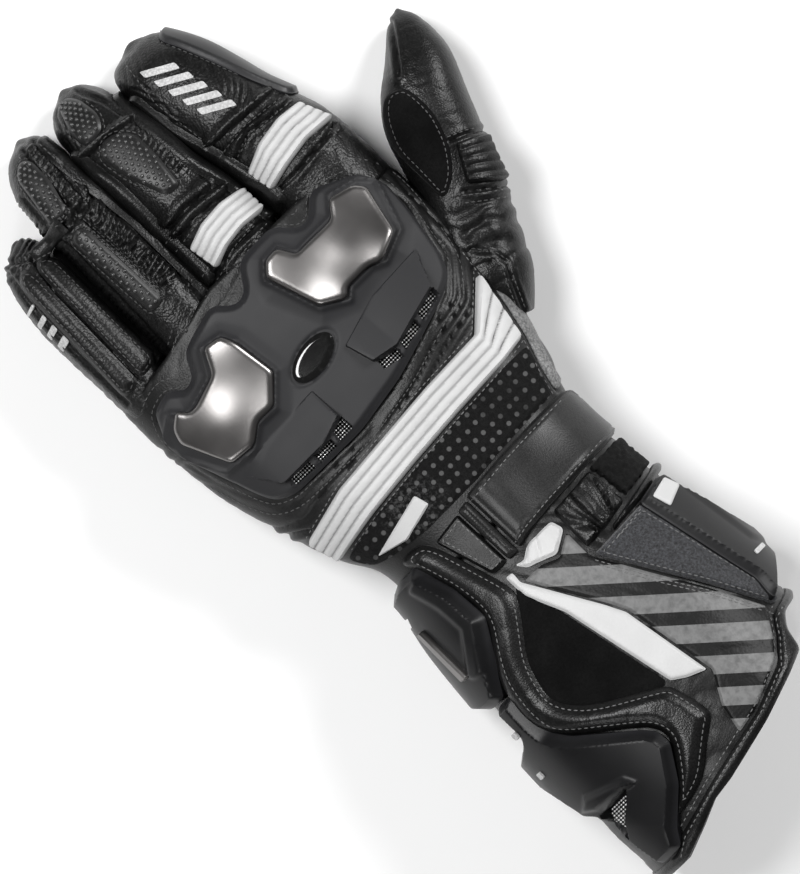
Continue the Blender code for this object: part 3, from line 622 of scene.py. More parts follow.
def lattice(edge, spacing, clear):
    """Points in rows inside a closed line, at least clear away from it."""
    low, high = edge.min(0), edge.max(0)
    s, v = np.meshgrid(np.arange(low[0], high[0], spacing), np.arange(low[1], high[1], spacing * 0.866))
    s[1::2] += spacing / 2
    s, v = s.ravel(), v.ravel()
    keep = depth_in(s, v, edge) > clear
    return np.stack([s[keep], v[keep]], 1)


def patch(name, skin, outline, rule, material, slot, nodes=(), spacing=0.6, corner=1.5, low=9, base=-0.3,
          lines=(), angle=38, shade=None, lift=0):
    """A piece that lies on a skin inside an outline seen from above: a dense face, walls and a plain back.

    Its height over the skin, in millimetres, follows a rule of place and of depth inside the outline. Its
    faces follow the creases in lines, and shade is a rule for how much painted shade darkens each point.
    """
    edge = untangled(evenly(to_skin(skin, evenly(rounded(outline, corner), 0.3), low, lift), spacing))
    after = np.roll(edge, -1, 0)
    if (edge[:, 0] * after[:, 1] - after[:, 0] * edge[:, 1]).sum() < 0:
        edge = edge[::-1]
    run = np.roll(edge, -1, 0) - np.roll(edge, 1, 0)
    inward = np.stack([-run[:, 1], run[:, 0]], 1) / np.maximum(np.linalg.norm(run, axis=1), 1e-6)[:, None]
    points = [edge]
    for step in (0.2, 0.5, 0.95):
        ring = edge + inward * step
        points.append(ring[depth_in(ring[:, 0], ring[:, 1], edge) > 0.93 * step])
    inner = lattice(edge, spacing, 0.95 + 0.5 * spacing)
    for line in lines:
        crease = evenly(to_skin(skin, evenly(line, 0.3, False), low, lift), spacing, False)
        along = np.gradient(crease, axis=0)
        beside = np.stack([-along[:, 1], along[:, 0]], 1) / np.linalg.norm(along, axis=1)[:, None]
        both = np.concatenate([crease + 0.17 * beside, crease - 0.17 * beside])
        inner = inner[distance(inner[:, 0], inner[:, 1], crease) > 0.17 + 0.4 * spacing]
        inner = np.concatenate([inner, both[depth_in(both[:, 0], both[:, 1], edge) > 1.1]])
    flat, faces = triangles(np.concatenate([*points, inner]), len(edge))
    place, out = on_skin(skin, flat[:, 0], flat[:, 1])
    depth = distance(flat[:, 0], flat[:, 1], closed(edge))
    rise = rule(place[:, 0], place[:, 1], depth)
    face = place + out * np.asarray(rise)[:, None]
    back_flat, back_faces = triangles(np.concatenate([edge, lattice(edge, 4.5, 1.6)]), len(edge))
    sides = rim_edges(faces)
    if sides != rim_edges(back_faces):
        back_flat, back_faces = flat, faces
    back_place, back_out = on_skin(skin, back_flat[:, 0], back_flat[:, 1])
    back = back_place + back_out * base
    if skin is body or base < 0:
        back[:, 2] = np.maximum(back[:, 2], 0.2)
    first = len(face)
    walls = [(a, b, first + b, first + a) for a, b in sorted(sides)]
    faces = [*faces, *walls, *[tuple(first + i for i in triangle[::-1]) for triangle in back_faces]]
    # Painted shade: the shade rule's values become the 'shade' attribute, which darkens the colour.
    painted_shade_tone = np.zeros(len(face)) if shade is None else shade(place[:, 0], place[:, 1], depth)
    attributes = {
        "edge": np.concatenate([depth, np.full(len(back), 9.0)]),
        "shade": np.concatenate([painted_shade_tone, np.zeros(len(back))]),
    }
    points = in_metres(skin, np.concatenate([face, back]))
    return new_piece(name, points, faces, material, slot, nodes, angle, attributes)


def bead(segments, rings):
    """A small round bead to copy: its points and faces."""
    bpy.ops.mesh.primitive_uv_sphere_add(segments=segments, ring_count=rings, radius=1)
    ball = bpy.context.object
    points = np.array([tuple(vert.co) for vert in ball.data.vertices])
    faces = [tuple(face.vertices) for face in ball.data.polygons]
    bpy.data.objects.remove(ball)
    return points, faces


def set_out(name, shape, size, spots, material, slot):
    """Copies of a small shape of one size, each at its place, outward direction and run, in mm."""
    shape_points, shape_faces = shape
    local = shape_points * size
    points, faces, first = [], [], 0
    for skin, place, out, run in spots:
        run = run - out * (run * out).sum(1, keepdims=True)
        run /= np.maximum(np.linalg.norm(run, axis=1, keepdims=True), 1e-9)
        side = np.cross(out, run)
        each = place[:, None] + side[:, None] * local[:, :1] + out[:, None] * local[:, 1:2]
        each = each + run[:, None] * local[:, 2:]
        points.append(in_metres(skin, each.reshape(-1, 3)))
        for k in range(len(place)):
            faces += [tuple(first + i for i in face) for face in shape_faces]
            first += len(local)
    return new_piece(name, np.concatenate(points), faces, material, slot, angle=60)


KNUCKLE_GUARD = [
    (-58, 90), (-56, 93.5), (-49, 95.3), (-46, 92.8), (-44, 91.3), (-40, 92.5), (-37, 99), (-33, 101),
    (-20.5, 104.3), (-16, 99.5), (-13, 98.8), (-10, 100), (-6, 106.5), (-2, 108), (10, 108.2), (15, 101.8),
    (20, 101.8), (24, 106.3), (28, 107.3), (40, 102.5), (44, 94), (44, 84), (41, 66), (38, 59.5), (33, 56.5),
    (5, 48), (-15, 44.8), (-43, 45.2), (-49, 48), (-52, 54), (-59, 76), (-60, 84),
]
INDEX_PLATE = [
    (-2.6, 97), (1, 101), (6, 101.3), (9, 95.7), (24, 95.8), (28, 101), (36, 99), (39, 95.4), (34.5, 80),
    (26, 76.2), (22, 78), (13, 78), (10.5, 75.6), (3, 80),
]
RING_PLATE = [
    (-51, 88.4), (-48, 85), (-45, 85), (-35, 88), (-31, 95.3), (-25, 94.2), (-23, 90), (-21, 76),
    (-28.5, 68.2), (-35, 68.5), (-41, 64.2), (-50, 65.4), (-57, 80.5), (-55.6, 85),
]
INDEX_HUMP = [
    (-6, 93), (-4, 99), (-1, 103.5), (7, 104), (10, 98.5), (23, 98.6), (27, 104), (38, 100), (41.5, 92),
    (38, 80), (31, 74), (22, 75), (11, 73), (1, 77),
]
RING_HUMP = [
    (-58, 85.5), (-52, 91), (-47, 88), (-36, 90.5), (-33, 98.6), (-24, 97), (-20.5, 91), (-18.5, 75),
    (-27, 65.5), (-38, 64), (-43, 61.8), (-52, 63), (-57, 73),
]
BADGE = (-9.5, 70.5)
BADGE_AXES = (9.6, 5.0)
BADGE_TURN = math.radians(10)
INDEX_FLAP = [(0, 66), (2.6, 56.6), (11, 55), (29.6, 60.4), (34.6, 72), (16, 71)]
RING_FLAP = [(-49, 61), (-41, 50), (-25, 49.6), (-16.4, 52.6), (-17, 63.5), (-32, 63)]
INDEX_WINDOWS = [
    [(3.4, 52.8), (9.8, 51.6), (10.2, 54.6), (3.6, 56)],
    [(12, 52.6), (19.8, 54.2), (19.8, 57), (12.2, 55)],
    [(21.8, 55.0), (30, 57.6), (30, 60), (22, 57.7)],
]
RING_WINDOWS = [
    [(-40.4, 47.0), (-32.2, 46.6), (-32.2, 49.3), (-40.2, 49.6)],
    [(-30.2, 46.6), (-23.2, 46.6), (-23.2, 49.3), (-30.2, 49.2)],
    [(-21.4, 46.8), (-15.8, 47.2), (-16.2, 52), (-21.2, 50.4)],
]


def slope_of(x, y, outline, low_edge, span):
    """A flap that rises out of the guard: 0 at its far side and 1 along its low edge."""
    share = 1 - np.clip(distance(x, y, low_edge) / span, 0, 1)
    return share * ease(depth_in(x, y, outline), -0.17, 0.17)


def guard_rise(x, y, depth):
    rise = 0.9 + 2.5 * ease(depth, 0, 2.4) + 0.55 * np.exp(-((depth - 0.7) / 0.45) ** 2)
    for hump in (INDEX_HUMP, RING_HUMP):
        rise = rise + 1.7 * ease(depth_in(x, y, hump), -3.5, 4.5)
    for plate in (INDEX_PLATE, RING_PLATE):
        rise = rise + 0.9 * np.exp(-((depth_in(x, y, plate) + 0.9) / 0.8) ** 2)
    rise = rise + 3.4 * slope_of(x, y, INDEX_FLAP, [(2.6, 56.6), (11, 55), (29.6, 60.4)], 15)
    rise = rise + 3.4 * slope_of(x, y, RING_FLAP, [(-41, 50), (-25, 49.6), (-16.4, 52.6)], 13)
    for window in INDEX_WINDOWS + RING_WINDOWS:
        opened = ease(depth_in(x, y, window), -0.2, 0.2)
        rise = rise * (1 - opened) + 0.5 * opened
    badge = np.hypot(*on_badge(x, y)) - 1
    return rise - 0.5 * np.exp(-(badge / 0.09) ** 2)


def on_badge(x, y):
    """A place on the oval badge, as shares of its two half axes."""
    along, across = turned_by(x - BADGE[0], y - BADGE[1], BADGE_TURN)
    return along / BADGE_AXES[0], across / BADGE_AXES[1]


def moulded(name, colour, worn, roughness, texture_mm=0.35, depth_mm=0.02):
    """Injection-moulded TPU: even colour, soft gloss, a sparked grain, edges rubbed paler."""
    material, shader, place = start_material(name, roughness, Specular_IOR_Level=0.36)
    grain = speckle(material, place, 1 / (texture_mm * MM), 3.0)
    roughen(material, shader, grain, depth_mm * MM, 0.9)
    edge = add(material, "Attribute", {"attribute_name": "edge"}, {})
    cloud = speckle(material, place, 45.0, 5.0)
    rubbed = remap(material, edge.outputs["Fac"], 0.1, 1.6, 0.55, 0.0)
    share = maths(material, "MULTIPLY", rubbed, cloud)
    with_cloud = maths(material, "MULTIPLY_ADD", cloud, 0.16, share)
    tone = ramp(material, with_cloud, 0, colour, 0.6, worn)
    join(material, tone, shader, "Base Color")
    gloss = remap(material, cloud, 0.3, 0.7, roughness - 0.04, roughness + 0.06)
    join(material, gloss, shader, "Roughness")
    return material


matt_tpu = moulded("matt_moulded_tpu", "#18181a", "#2b2b2d", 0.58)
guard_lines = [closed(line) for line in [INDEX_PLATE, RING_PLATE, INDEX_FLAP, RING_FLAP, *INDEX_WINDOWS,
                                         *RING_WINDOWS]]
patch("knuckle_guard_moulding", body, KNUCKLE_GUARD, guard_rise, matt_tpu, "moulded_black",
      ["knuckle_guard"], spacing=0.6, corner=3.5, lines=guard_lines, lift=2)


# The two knuckle plates: pressed stainless steel, domed over the knuckles, with a rolled rim let into the
# guard. Bead-blasted and then lightly buffed, so they shine softly in the middle and darken towards the
# rim.
def plate_dome(peaks, rim=1.9):
    """How a plate rises: a rolled rim, and a dome over each knuckle."""
    def rise(x, y, depth):
        t = np.clip(depth / rim, 0, 1)
        height = 5.6 + 1.2 * np.sqrt(1 - (1 - t) ** 2)
        for px, py, tall, wide in peaks:
            height = height + tall * np.exp(-((x - px) ** 2 + (y - py) ** 2) / wide**2)
        return height
    return rise


satin_steel, shader, place = start_material("blasted_stainless_steel", 0.3, Metallic=1.0)
blast = speckle(satin_steel, place, 1 / 0.00035, 3.0)
roughen(satin_steel, shader, blast, 0.000006, 1.0)
haze = speckle(satin_steel, place, 60.0, 3.0, 0.5)
tone = ramp(satin_steel, haze, 0.3, "#737170", 0.7, "#807e7d")
join(satin_steel, tone, shader, "Base Color")
gloss = remap(satin_steel, haze, 0.3, 0.7, 0.29, 0.33)
join(satin_steel, gloss, shader, "Roughness")
for name, outline, peaks in (
    ("index", INDEX_PLATE, [(32, 75.5, 3.2, 11.5), (-2, 100, 1.2, 13), (11, 78, 1.2, 8), (20, 88, 0.5, 6)]),
    ("ring", RING_PLATE, [(-24, 94, 2.4, 13), (-41.5, 76, 1.1, 8.5)]),
):
    patch(f"knuckle_plate_{name}_steel", body, outline, plate_dome(peaks), satin_steel, "satin_metal",
          [f"knuckle_plate_{name}"], spacing=0.5, corner=1.6, base=4.5, lift=6)


# The oval badge between the plates: a plain lens of gloss black lacquer inside a thin moulded ring.
# It is a separate moulding pressed into the guard, left blank.
def oval(share):
    """A share of the badge's outline, seen from above."""
    cos, sin = math.cos(BADGE_TURN), math.sin(BADGE_TURN)
    made = []
    for step in range(40):
        a = BADGE_AXES[0] * share * math.cos(step * math.pi / 20)
        b = BADGE_AXES[1] * share * math.sin(step * math.pi / 20)
        made.append((BADGE[0] + a * cos - b * sin, BADGE[1] + a * sin + b * cos))
    return made


# Its dust is in specks about 1 mm apart
gloss_black = plain_material("gloss_black_lacquer", 0.09, (900.0, 3.0), (0.55, "#070707", 0.8, "#1d1d1d"),
                             Coat_Weight=0.6, Coat_Roughness=0.04)
patch("oval_badge_lens", body, oval(0.93), lambda x, y, depth: 3.7 + 0.6 * ease(depth, -0.6, 1.6),
      gloss_black, "gloss_black", ["oval_badge"], spacing=0.4, corner=0.3, base=2.6, lift=3)


# The vents' wire cloth: woven stainless wire, 0.7 mm from wire to wire, that shows bright in the guard's
# windows. Each window has its own piece of it, glued in from behind.
wire_cloth, shader, place = start_material("woven_steel_wire", 0.32, Metallic=0.9)
parts = add(wire_cloth, "SeparateXYZ", {}, {"Vector": place})
waves = []
for a, b in ((1, 1), (1, -1)):
    turned_place = maths(wire_cloth, "MULTIPLY_ADD", parts.outputs["Y"], float(b), parts.outputs["X"])
    wave = maths(wire_cloth, "MULTIPLY", turned_place, math.pi / (0.95 * MM))
    waves.append(maths(wire_cloth, "SINE", wave))
both = maths(wire_cloth, "MULTIPLY", waves[0], waves[1])
roughen(wire_cloth, shader, both, 0.00022, 1.0)
tone = ramp(wire_cloth, both, 0.0, "#050505", 0.35, "#e4e4e4")
join(wire_cloth, tone, shader, "Base Color")
for name, windows in (("index", INDEX_WINDOWS), ("ring", RING_WINDOWS)):
    for number, window in enumerate(windows):
        patch(f"vent_wire_{name}_{number + 1}", body, window, swell(1.2), wire_cloth, "silver_mesh",
              [f"vent_mesh_{name}"], spacing=0.5, corner=0.4, base=0.8)


# The thread of all the stitching: bonded nylon about 0.4 mm thick, grey or charcoal, laid in stitches 1.4
# mm long. Rows run along lines, or beside the rim of a piece.
def thread(name, colour, fuzz):
    """Twisted nylon thread: a soft sheen and a lay of fine strands."""
    strands = (1 / (0.3 * MM), 2.0)
    return plain_material(name, 0.6, strands, (0, colour, 1, fuzz), (0.08 * MM, 0.8), Sheen_Weight=0.3)


grey_thread = thread("grey_nylon_thread", "#333333", "#747474")
dark_thread = thread("charcoal_nylon_thread", "#1c1c1c", "#484848")
stitch = bead(6, 5)
STITCH = (0.19, 0.18, 0.68)


def rim(outline, by, corner):
    """A closed outline moved out by a distance, with rounded corners."""
    line = evenly(rounded(outline, corner), 0.5)
    after = np.roll(line, -1, 0)
    run = after - np.roll(line, 1, 0)
    run /= np.maximum(np.linalg.norm(run, axis=1, keepdims=True), 1e-6)
    turn = 1 if (line[:, 0] * after[:, 1] - after[:, 0] * line[:, 1]).sum() > 0 else -1
    moved = line + np.stack([run[:, 1], -run[:, 0]], 1) * by * turn
    keep = distance(moved[:, 0], moved[:, 1], closed(line)) > 0.93 * abs(by)
    return moved[keep]


# The four fingers: tubes of black cowhide, pre-curved, with seams down their backs, gathered strips that
# let them bend, and stitched folds at the joints. Each is sewn to the hand at its root.
FINGER_ROWS = {
    "little": [ (94, -62.8, -42.4, 32, 0), (110, -62.8, -42.4, 32, 0.5), (125, -63.3, -42.4, 31, 1.5),
               (140, -62.9, -42.4, 29, 1.5), (150, -61, -42.6, 25, 0.5), (156, -58, -44, 20, 0),
               (159.8, -52.5, -46.5, 14, 4), ],
    "ring": [ (94, -41, -17.3, 38, 0), (112, -41.2, -17.3, 37.5, 1.5), (130, -41.3, -17.6, 36.5, 3.5),
             (148, -41.3, -18.8, 34, 4), (161, -41, -19.3, 29, 2), (172, -39.3, -19.6, 24, 0.5),
             (178, -35.4, -20.6, 19, 0), (181.2, -30, -23.6, 13, 4), ],
    "middle": [ (94, -16.3, 11.6, 39, 0), (112, -16.3, 12, 38.5, 2), (130, -16.6, 10.6, 37.5, 4.5),
               (143, -17.2, 8.6, 36, 5), (156, -18, 6.6, 32, 4), (166, -18.3, 4.7, 28, 2),
               (174, -17.8, 3.6, 23.5, 0.5), (179.6, -14.3, 0.6, 17.5, 0), (182.6, -9.4, -3.4, 12, 4), ],
    "index": [ (94, 12.9, 48.6, 38, 0), (113, 13.3, 48.5, 37, 1.5), (125, 12.7, 46.8, 36, 3.5),
              (132, 11.9, 44.4, 35.5, 4), (142, 10.3, 40.6, 34, 4.5), (152, 8.4, 38, 31.5, 3.5),
              (162, 6.8, 35, 28, 2), (170, 6.2, 31.2, 24, 0.5), (175.6, 8, 27.6, 18, 0),
              (178, 13.4, 23.6, 12.5, 4), ],
}
little = make_skin(FINGER_ROWS["little"], 1.4)
ring = make_skin(FINGER_ROWS["ring"], 1.4)
middle = make_skin(FINGER_ROWS["middle"], 1.4)
index = make_skin(FINGER_ROWS["index"], 1.6)


def ruching(x, y, turn, pitch):
    """Leather drawn up on a thread: orderly folds with narrow valleys, from -1 to 1."""
    count = turned_by(x, y, math.radians(turn))[1] / pitch + 1.3 * noise(x / 4.3 + 3, y / 5.1 + pitch)
    return (2 * np.abs(np.sin(math.pi * count)) ** 0.7 - 1) * (0.65 + 0.7 * noise(x / 2.7 + 9, y / 2.3))


def relief(seams=(), folds=(), gathers=(), rough=0.18, turn=20):
    """A shell's relief: sewn seams, folds as line, width and height, and gathers inside outlines."""
    def rise(x, y, z):
        height = rough * creases(x, y, turn, 2.6, 7, 1.3) + 0.25 * (noise(x / 9 + 3, y / 12 + 8) - 0.5)
        for line in seams:
            height = height + seam(x, y, line)
        for line, width, tall in folds:
            height = height + tall * np.exp(-(distance(x, y, line) / width) ** 2)
        for outline, angle, pitch, tall in gathers:
            share = ease(depth_in(x, y, outline), -0.4, 1.4)
            height = height + share * tall * ruching(x, y, angle, pitch)
        return height
    return rise


little_relief = relief(
    seams=[[(-56.5, 159), (-54.9, 157), (-48.8, 153.2), (-44, 151.5)],
           [(-48.8, 153.2), (-51.6, 140), (-51.8, 102)], [(-59.6, 101), (-59.8, 140), (-57.4, 156)]],
    gathers=[([(-60, 152), (-44, 152), (-44, 163), (-60, 163)], 20, 1.9, 0.3),
             ([(-66, 100), (-60.6, 100), (-60.6, 152), (-66, 152)], 10, 4.2, 0.12)],
)
ring_relief = relief(
    seams=[[(-27.6, 178.5), (-29.6, 168), (-29.6, 156)], [(-23.4, 178.5), (-23.2, 170), (-24.4, 156)],
           [(-29.6, 151.5), (-28.6, 130), (-28.4, 118)],
           [(-21.6, 156), (-20.6, 140), (-19.6, 120), (-20.6, 116)],
           [(-39.6, 102), (-39, 118), (-38.6, 150), (-38, 168)]],
    folds=[([(-42, 153.6), (-33, 152.4), (-20, 154.6)], 1.4, -1.2),
           ([(-42, 156.6), (-30, 155.4), (-20, 157.4)], 1.3, 0.8),
           ([(-42, 150.8), (-30, 149.6), (-20, 151.6)], 1.2, 0.7)],
    gathers=[([(-29.4, 156), (-23.8, 156), (-23.2, 179), (-28, 179)], 8, 1.9, 0.55),
             ([(-28.4, 117), (-20.4, 117), (-20.8, 151), (-29.4, 151)], 14, 2.0, 0.6),
             ([(-36, 149.5), (-20, 149.5), (-20, 156.5), (-36, 156.5)], 30, 2.1, 0.45),
             ([(-42, 104), (-39, 104), (-39, 170), (-42, 170)], 8, 2.0, 0.35)],
)
middle_relief = relief(
    seams=[[(-16, 163.4), (-8, 163), (2, 161)], [(-17, 129.6), (-5, 130.6), (9.6, 129)],
           [(-16.6, 125.4), (-5, 126.6), (10, 125)], [(-16.6, 109.6), (-4, 111.6), (10, 111.4)],
           [(-3, 180), (0.5, 172), (3.2, 160), (5.4, 146), (6, 131)]],
    folds=[([(-17, 164.8), (-8, 164.4), (3, 162)], 1.3, 1.5),
           ([(-17, 161.2), (-8, 161.2), (3, 159.2)], 1.1, -0.6),
           ([(-17, 132.4), (-5, 133.2), (8, 132)], 1.6, 0.9),
           ([(-17, 127.6), (-5, 128.4), (10, 127)], 1.4, 1.0)],
    gathers=[([(0.4, 139), (5.4, 139), (4, 161), (0.8, 161)], 20, 1.9, 0.5),
             ([(-18, 166), (-13, 166), (-9, 181), (-15, 181)], 60, 1.9, 0.3)],
)
index_relief = relief(
    seams=[[(12.6, 138.6), (24, 138), (39, 137)], [(16, 130.6), (25, 133.6), (40, 131.6)],
           [(17, 114.6), (26, 114.4), (45, 116.4)]],
    folds=[([(11, 137), (24, 136.4), (39, 135.6)], 1.2, -1.1),
           ([(11, 140), (24, 140.4), (38, 138.6)], 1.6, 1.0),
           ([(14, 133.6), (24, 134.8), (40, 133.2)], 1.1, 0.8)],
    gathers=[([(9, 140), (14, 140), (14, 170), (9, 170)], -70, 1.9, 0.25),
             ([(28, 138), (38, 138), (34, 150), (26, 150)], 35, 2.2, 0.5)],
    rough=0.25, turn=60,
)
finger_hide = leather("grained_finger_hide", "#030303", "#131313", 0.37, 0.75, 0.12, 0.05)
for name, skin, rule in (
    ("little", little, little_relief),
    ("ring", ring, ring_relief),
    ("middle", middle, middle_relief),
    ("index", index, index_relief),
):
    make_shell(f"{name}_finger_leather", skin, [(-80, 95.5), (80, 95.5)], None, rule, finger_hide, 0.6,
               f"{name}_finger")


# The thumb: a tube of smoother hide that leans away from the hand, with a suede patch on its inner side, an
# accordion panel over its joint and soft wrinkles down to its double-stitched root.
THUMB_ROWS = [
    (-8, -14, 4.5, 30, 8), (3, -14, 8.8, 30, 7), (13, -14, 11.8, 31, 5), (28, -14, 12.8, 31, 2.5),
    (40, -14.5, 12.8, 30, 0.8), (50, -15.5, 13, 29.5, 0), (58, -16.8, 11.6, 29, 0), (67, -17.8, 11, 28.5, 0),
    (77, -15.8, 10.4, 27, 0), (87, -11.2, 9.3, 23.5, 0), (95, -7.6, 6, 19, 0.5), (99.6, -5, 2.6, 14.5, 2.5),
    (101.6, -3.2, -0.2, 11, 5),
]
THUMB_ROOT = (41, 36)
THUMB_LEAN = math.radians(26)
thumb = make_skin(THUMB_ROWS, 1.0, THUMB_ROOT, THUMB_LEAN)


def on_thumb(points):
    """Points of the glove, seen from above, on the thumb's own leaning grid."""
    return [turned_by(x - THUMB_ROOT[0], y - THUMB_ROOT[1], -THUMB_LEAN) for x, y in points]


thumb_relief = relief(
    seams=[on_thumb([(80, 127), (75, 120), (70, 113.5)]), [(-0.6, 42.4), (4, 41.4), (12.5, 39.8)],
           [(0.2, 58.6), (6, 58.8), (11.8, 58.4)], on_thumb([(48, 60), (52, 55), (53, 50), (50, 44),
        (46, 35)])],
    folds=[([(-4, 30), (4, 32), (12.6, 29)], 1.8, -0.9), ([(-6, 36), (4, 37), (12.6, 34.6)], 1.6, -0.7),
           ([(-8, 22), (2, 25), (12.6, 21)], 2.0, -0.6)],
    gathers=[([(-13, 12), (13, 12), (13, 40), (-8, 42)], 5, 7.5, 0.3),
             ([(-6, 60), (8, 60), (5, 84), (-5, 84)], -20, 3.4, 0.07)],
    rough=0.12, turn=10,
)
smooth_hide = leather("smooth_waxed_hide", "#070707", "#141414", 0.36, 0.6, 0.08)
make_shell("thumb_leather", thumb, [(-80, 1), (80, 1)], None, thumb_relief, smooth_hide, 0.6, "thumb")

suede, shader, place = start_material("brushed_black_suede", 0.95, Sheen_Weight=0.05, Specular_IOR_Level=0.1)
nap = speckle(suede, place, 1 / 0.0009, 6.0, 0.7)
cloud = speckle(suede, place, 90.0, 3.0)
both = maths(suede, "MULTIPLY", nap, cloud)
tone = ramp(suede, both, 0.15, "#030303", 0.45, "#101010")
join(suede, tone, shader, "Base Color")
roughen(suede, shader, nap, 0.00022, 0.9)
THUMB_PATCH = [
    (-7.4, 41.4), (-2.2, 48), (-0.3, 57.7), (-1.5, 68), (-5.5, 76), (-8.6, 79), (-14, 78), (-16.6, 71),
    (-16.4, 61), (-11.6, 51),
]
patch("thumb_patch_suede", thumb, THUMB_PATCH, swell(0.35, 0.75, 1.1), suede, "suede",
      ["thumb_patch"], spacing=0.8, corner=4)


# The stretch panels: strips of thin leather sewn over elastic in four soft rolls, so the glove can bend.
# The back and two finger panels are white; the thumb's and the gathered one at the cuff are black.
def rolls_up(x, y, lower, upper, count):
    """How many rolls a point is above a panel's lower edge."""
    below, above = [np.interp(x, *zip(*line)) for line in (lower, upper)]
    return np.clip((y - below) / np.maximum(above - below, 0.1), 0.001, 0.999) * count


def rolls(lower, upper, count, body_mm, roll_mm, sharp=0.55):
    """A panel's height: a row of soft rolls from its lower edge to its upper, with narrow sewn valleys."""
    def rise(x, y, depth):
        share = rolls_up(x, y, lower, upper, count)
        across = 2 * (share - np.floor(share)) - 1
        roll = np.sqrt(1 - across**2) ** sharp
        wobble = 0.12 * (noise(x / 2.2 + 9, y / 1.3) - 0.5)
        return (body_mm + roll_mm * roll + wobble) * ease(depth, -0.9, 1.0)
    return rise


def valleys(lower, upper, count):
    """How much painted shade darkens a point, deepest in the sewn valleys of a panel of rolls."""
    def share_of(x, y, depth):
        share = rolls_up(x, y, lower, upper, count)
        across = np.abs(2 * (share - np.floor(share)) - 1)
        inner = np.clip(share, 0.5, count - 0.5) == share
        return np.where(inner, 0.75 * ease(across, 0.74, 0.98), 0.25 * ease(across, 0.8, 1.0))
    return share_of


# White nappa with faint random mottling, and painted shade from the shade attribute in the valleys between
# rolls.
white_leather, shader, place = start_material("white_nappa_leather", 0.5)
grain = add(white_leather, "TexVoronoi", {"feature": "SMOOTH_F1"}, {"Vector": place, "Scale": 1 / 0.0007})
cloud = speckle(white_leather, place, 110.0, 5.0)
shaded = add(white_leather, "Attribute", {"attribute_name": "shade"}, {})
painted_shade_tone = maths(white_leather, "MULTIPLY_ADD", cloud, 0.2, shaded.outputs["Fac"])
tone = ramp(white_leather, painted_shade_tone, 0.05, "#b9b9b9", 0.95, "#5e5e5e")
join(white_leather, tone, shader, "Base Color")
roughen(white_leather, shader, grain.outputs["Distance"], 0.00006, 0.8)
BACK_PANEL = (
    [(-46.2, 21.8), (-30, 24.4), (-10, 26.4), (10, 27.9), (30, 28.9), (39, 30.4)],
    [(-49.6, 32.6), (-32, 37), (-10, 38.8), (8, 40.2), (30, 41), (43.4, 53.6)],
)
MIDDLE_PANEL = (
    [(-10.4, 111), (-4, 113.4), (3, 114.4), (10.4, 113.6)],
    [(-11.8, 121.4), (-5, 124), (3, 124.6), (10, 123.4)],
)
INDEX_PANEL = (
    [(18.6, 116), (26, 117.8), (36, 119.4), (45.6, 118.6)],
    [(17.2, 125.4), (25, 129), (34, 130.4), (41.4, 129.4)],
)
GATHERED_PANEL = (
    [(8.5, -28.8), (14, -28.4), (20, -27.9), (26.4, -26.8)],
    [(8.8, -13.8), (14, -13.6), (20, -13.2), (25.4, -12.8)],
)
THUMB_PANEL = (
    [(0.8, 44.4), (5, 43.4), (9, 42.4), (12, 41.6)],
    [(1.4, 57), (5, 57.2), (8.6, 57), (10.6, 56.8)],
)
for name, skin, edges, count, finish, slot in (
    ("back_stretch_panel", body, BACK_PANEL, 4, white_leather, "white_leather"),
    ("middle_stretch_panel", middle, MIDDLE_PANEL, 4, white_leather, "white_leather"),
    ("index_stretch_panel", index, INDEX_PANEL, 4, white_leather, "white_leather"),
    ("thumb_stretch_panel", thumb, THUMB_PANEL, 5, smooth_hide, "leather"),
):
    lower, upper = edges
    ends = list(zip(np.array(lower), np.array(upper)))
    sewn = [[tuple(a * (1 - k / count) + b * k / count) for a, b in ends] for k in range(1, count)]
    # The valleys' painted shade goes into the shade attribute; the white leather reads it, the black hide
    # doesn't.
    patch(name + "_rolls", skin, lower + upper[::-1], rolls(lower, upper, count, 1.5, 1.3, 0.42), finish,
          slot, [name], spacing=0.5, corner=1.0, lines=sewn, shade=valleys(lower, upper, count))


def gathers_rise(x, y, depth):
    """Leather drawn up on elastic: folds that run together towards its lower edge."""
    bearing, away = np.arctan2(x - 17, y + 40), np.hypot(x - 17, y + 40)
    fold = 1 - np.abs(2 * noise(bearing * 11 + 3 + 0.5 * noise(x / 3, y / 3), away / 11 + 5) - 1)
    return (1.0 + 1.9 * (1 - fold) ** 1.3) * ease(depth, -0.6, 1.2)


patch("gathered_panel_leather", body, GATHERED_PANEL[0] + GATHERED_PANEL[1][::-1], gathers_rise,
      smooth_hide, "leather", ["gathered_panel"], spacing=0.5, corner=1.2)


# The finger pads: foam under leather on the little finger, and moulded studded pads on the ring and middle
# fingers. Each is sewn down inside a raised, stitched edge.
def pad(thick, edge=2.2, crown=0.5):
    """A padded piece's height: it rises from a sewn edge to a soft crown."""
    return lambda x, y, depth: 0.3 + thick * ease(depth, -0.6, edge) + crown * ease(depth, 0, 5)


LITTLE_PAD = [(-51.4, 103.4), (-43.8, 104.4), (-43.8, 148.8), (-47.6, 152.4), (-50.6, 149.8)]
LITTLE_SIDE_PAD = [(-59, 102.4), (-52.4, 103.2), (-51.6, 149.4), (-53.6, 153.6), (-57.6, 150)]
RING_TIP_PAD = [(-37.6, 155.6), (-31.0, 155.6), (-28.2, 166), (-28.0, 174.6), (-31, 177), (-35, 173.6)]
RING_PAD = [(-34.6, 115.4), (-29.4, 115.8), (-30.8, 148), (-33, 150), (-36.6, 148)]
MIDDLE_TIP_PAD = [(-13.2, 165.6), (-6, 165.6), (-3.4, 170), (-4.4, 177.6), (-7, 181), (-10.6, 180),
                  (-13.8, 171)]
MIDDLE_PAD = [(-6.4, 137.6), (-1, 136.8), (0.3, 148), (0.2, 157.6), (-3.6, 162.2), (-8.6, 163.2),
              (-12.4, 159.6), (-10.8, 150)]
pad_hide = leather("soft_pad_hide", "#060606", "#1a1a1a", 0.38, 0.75, 0.1)
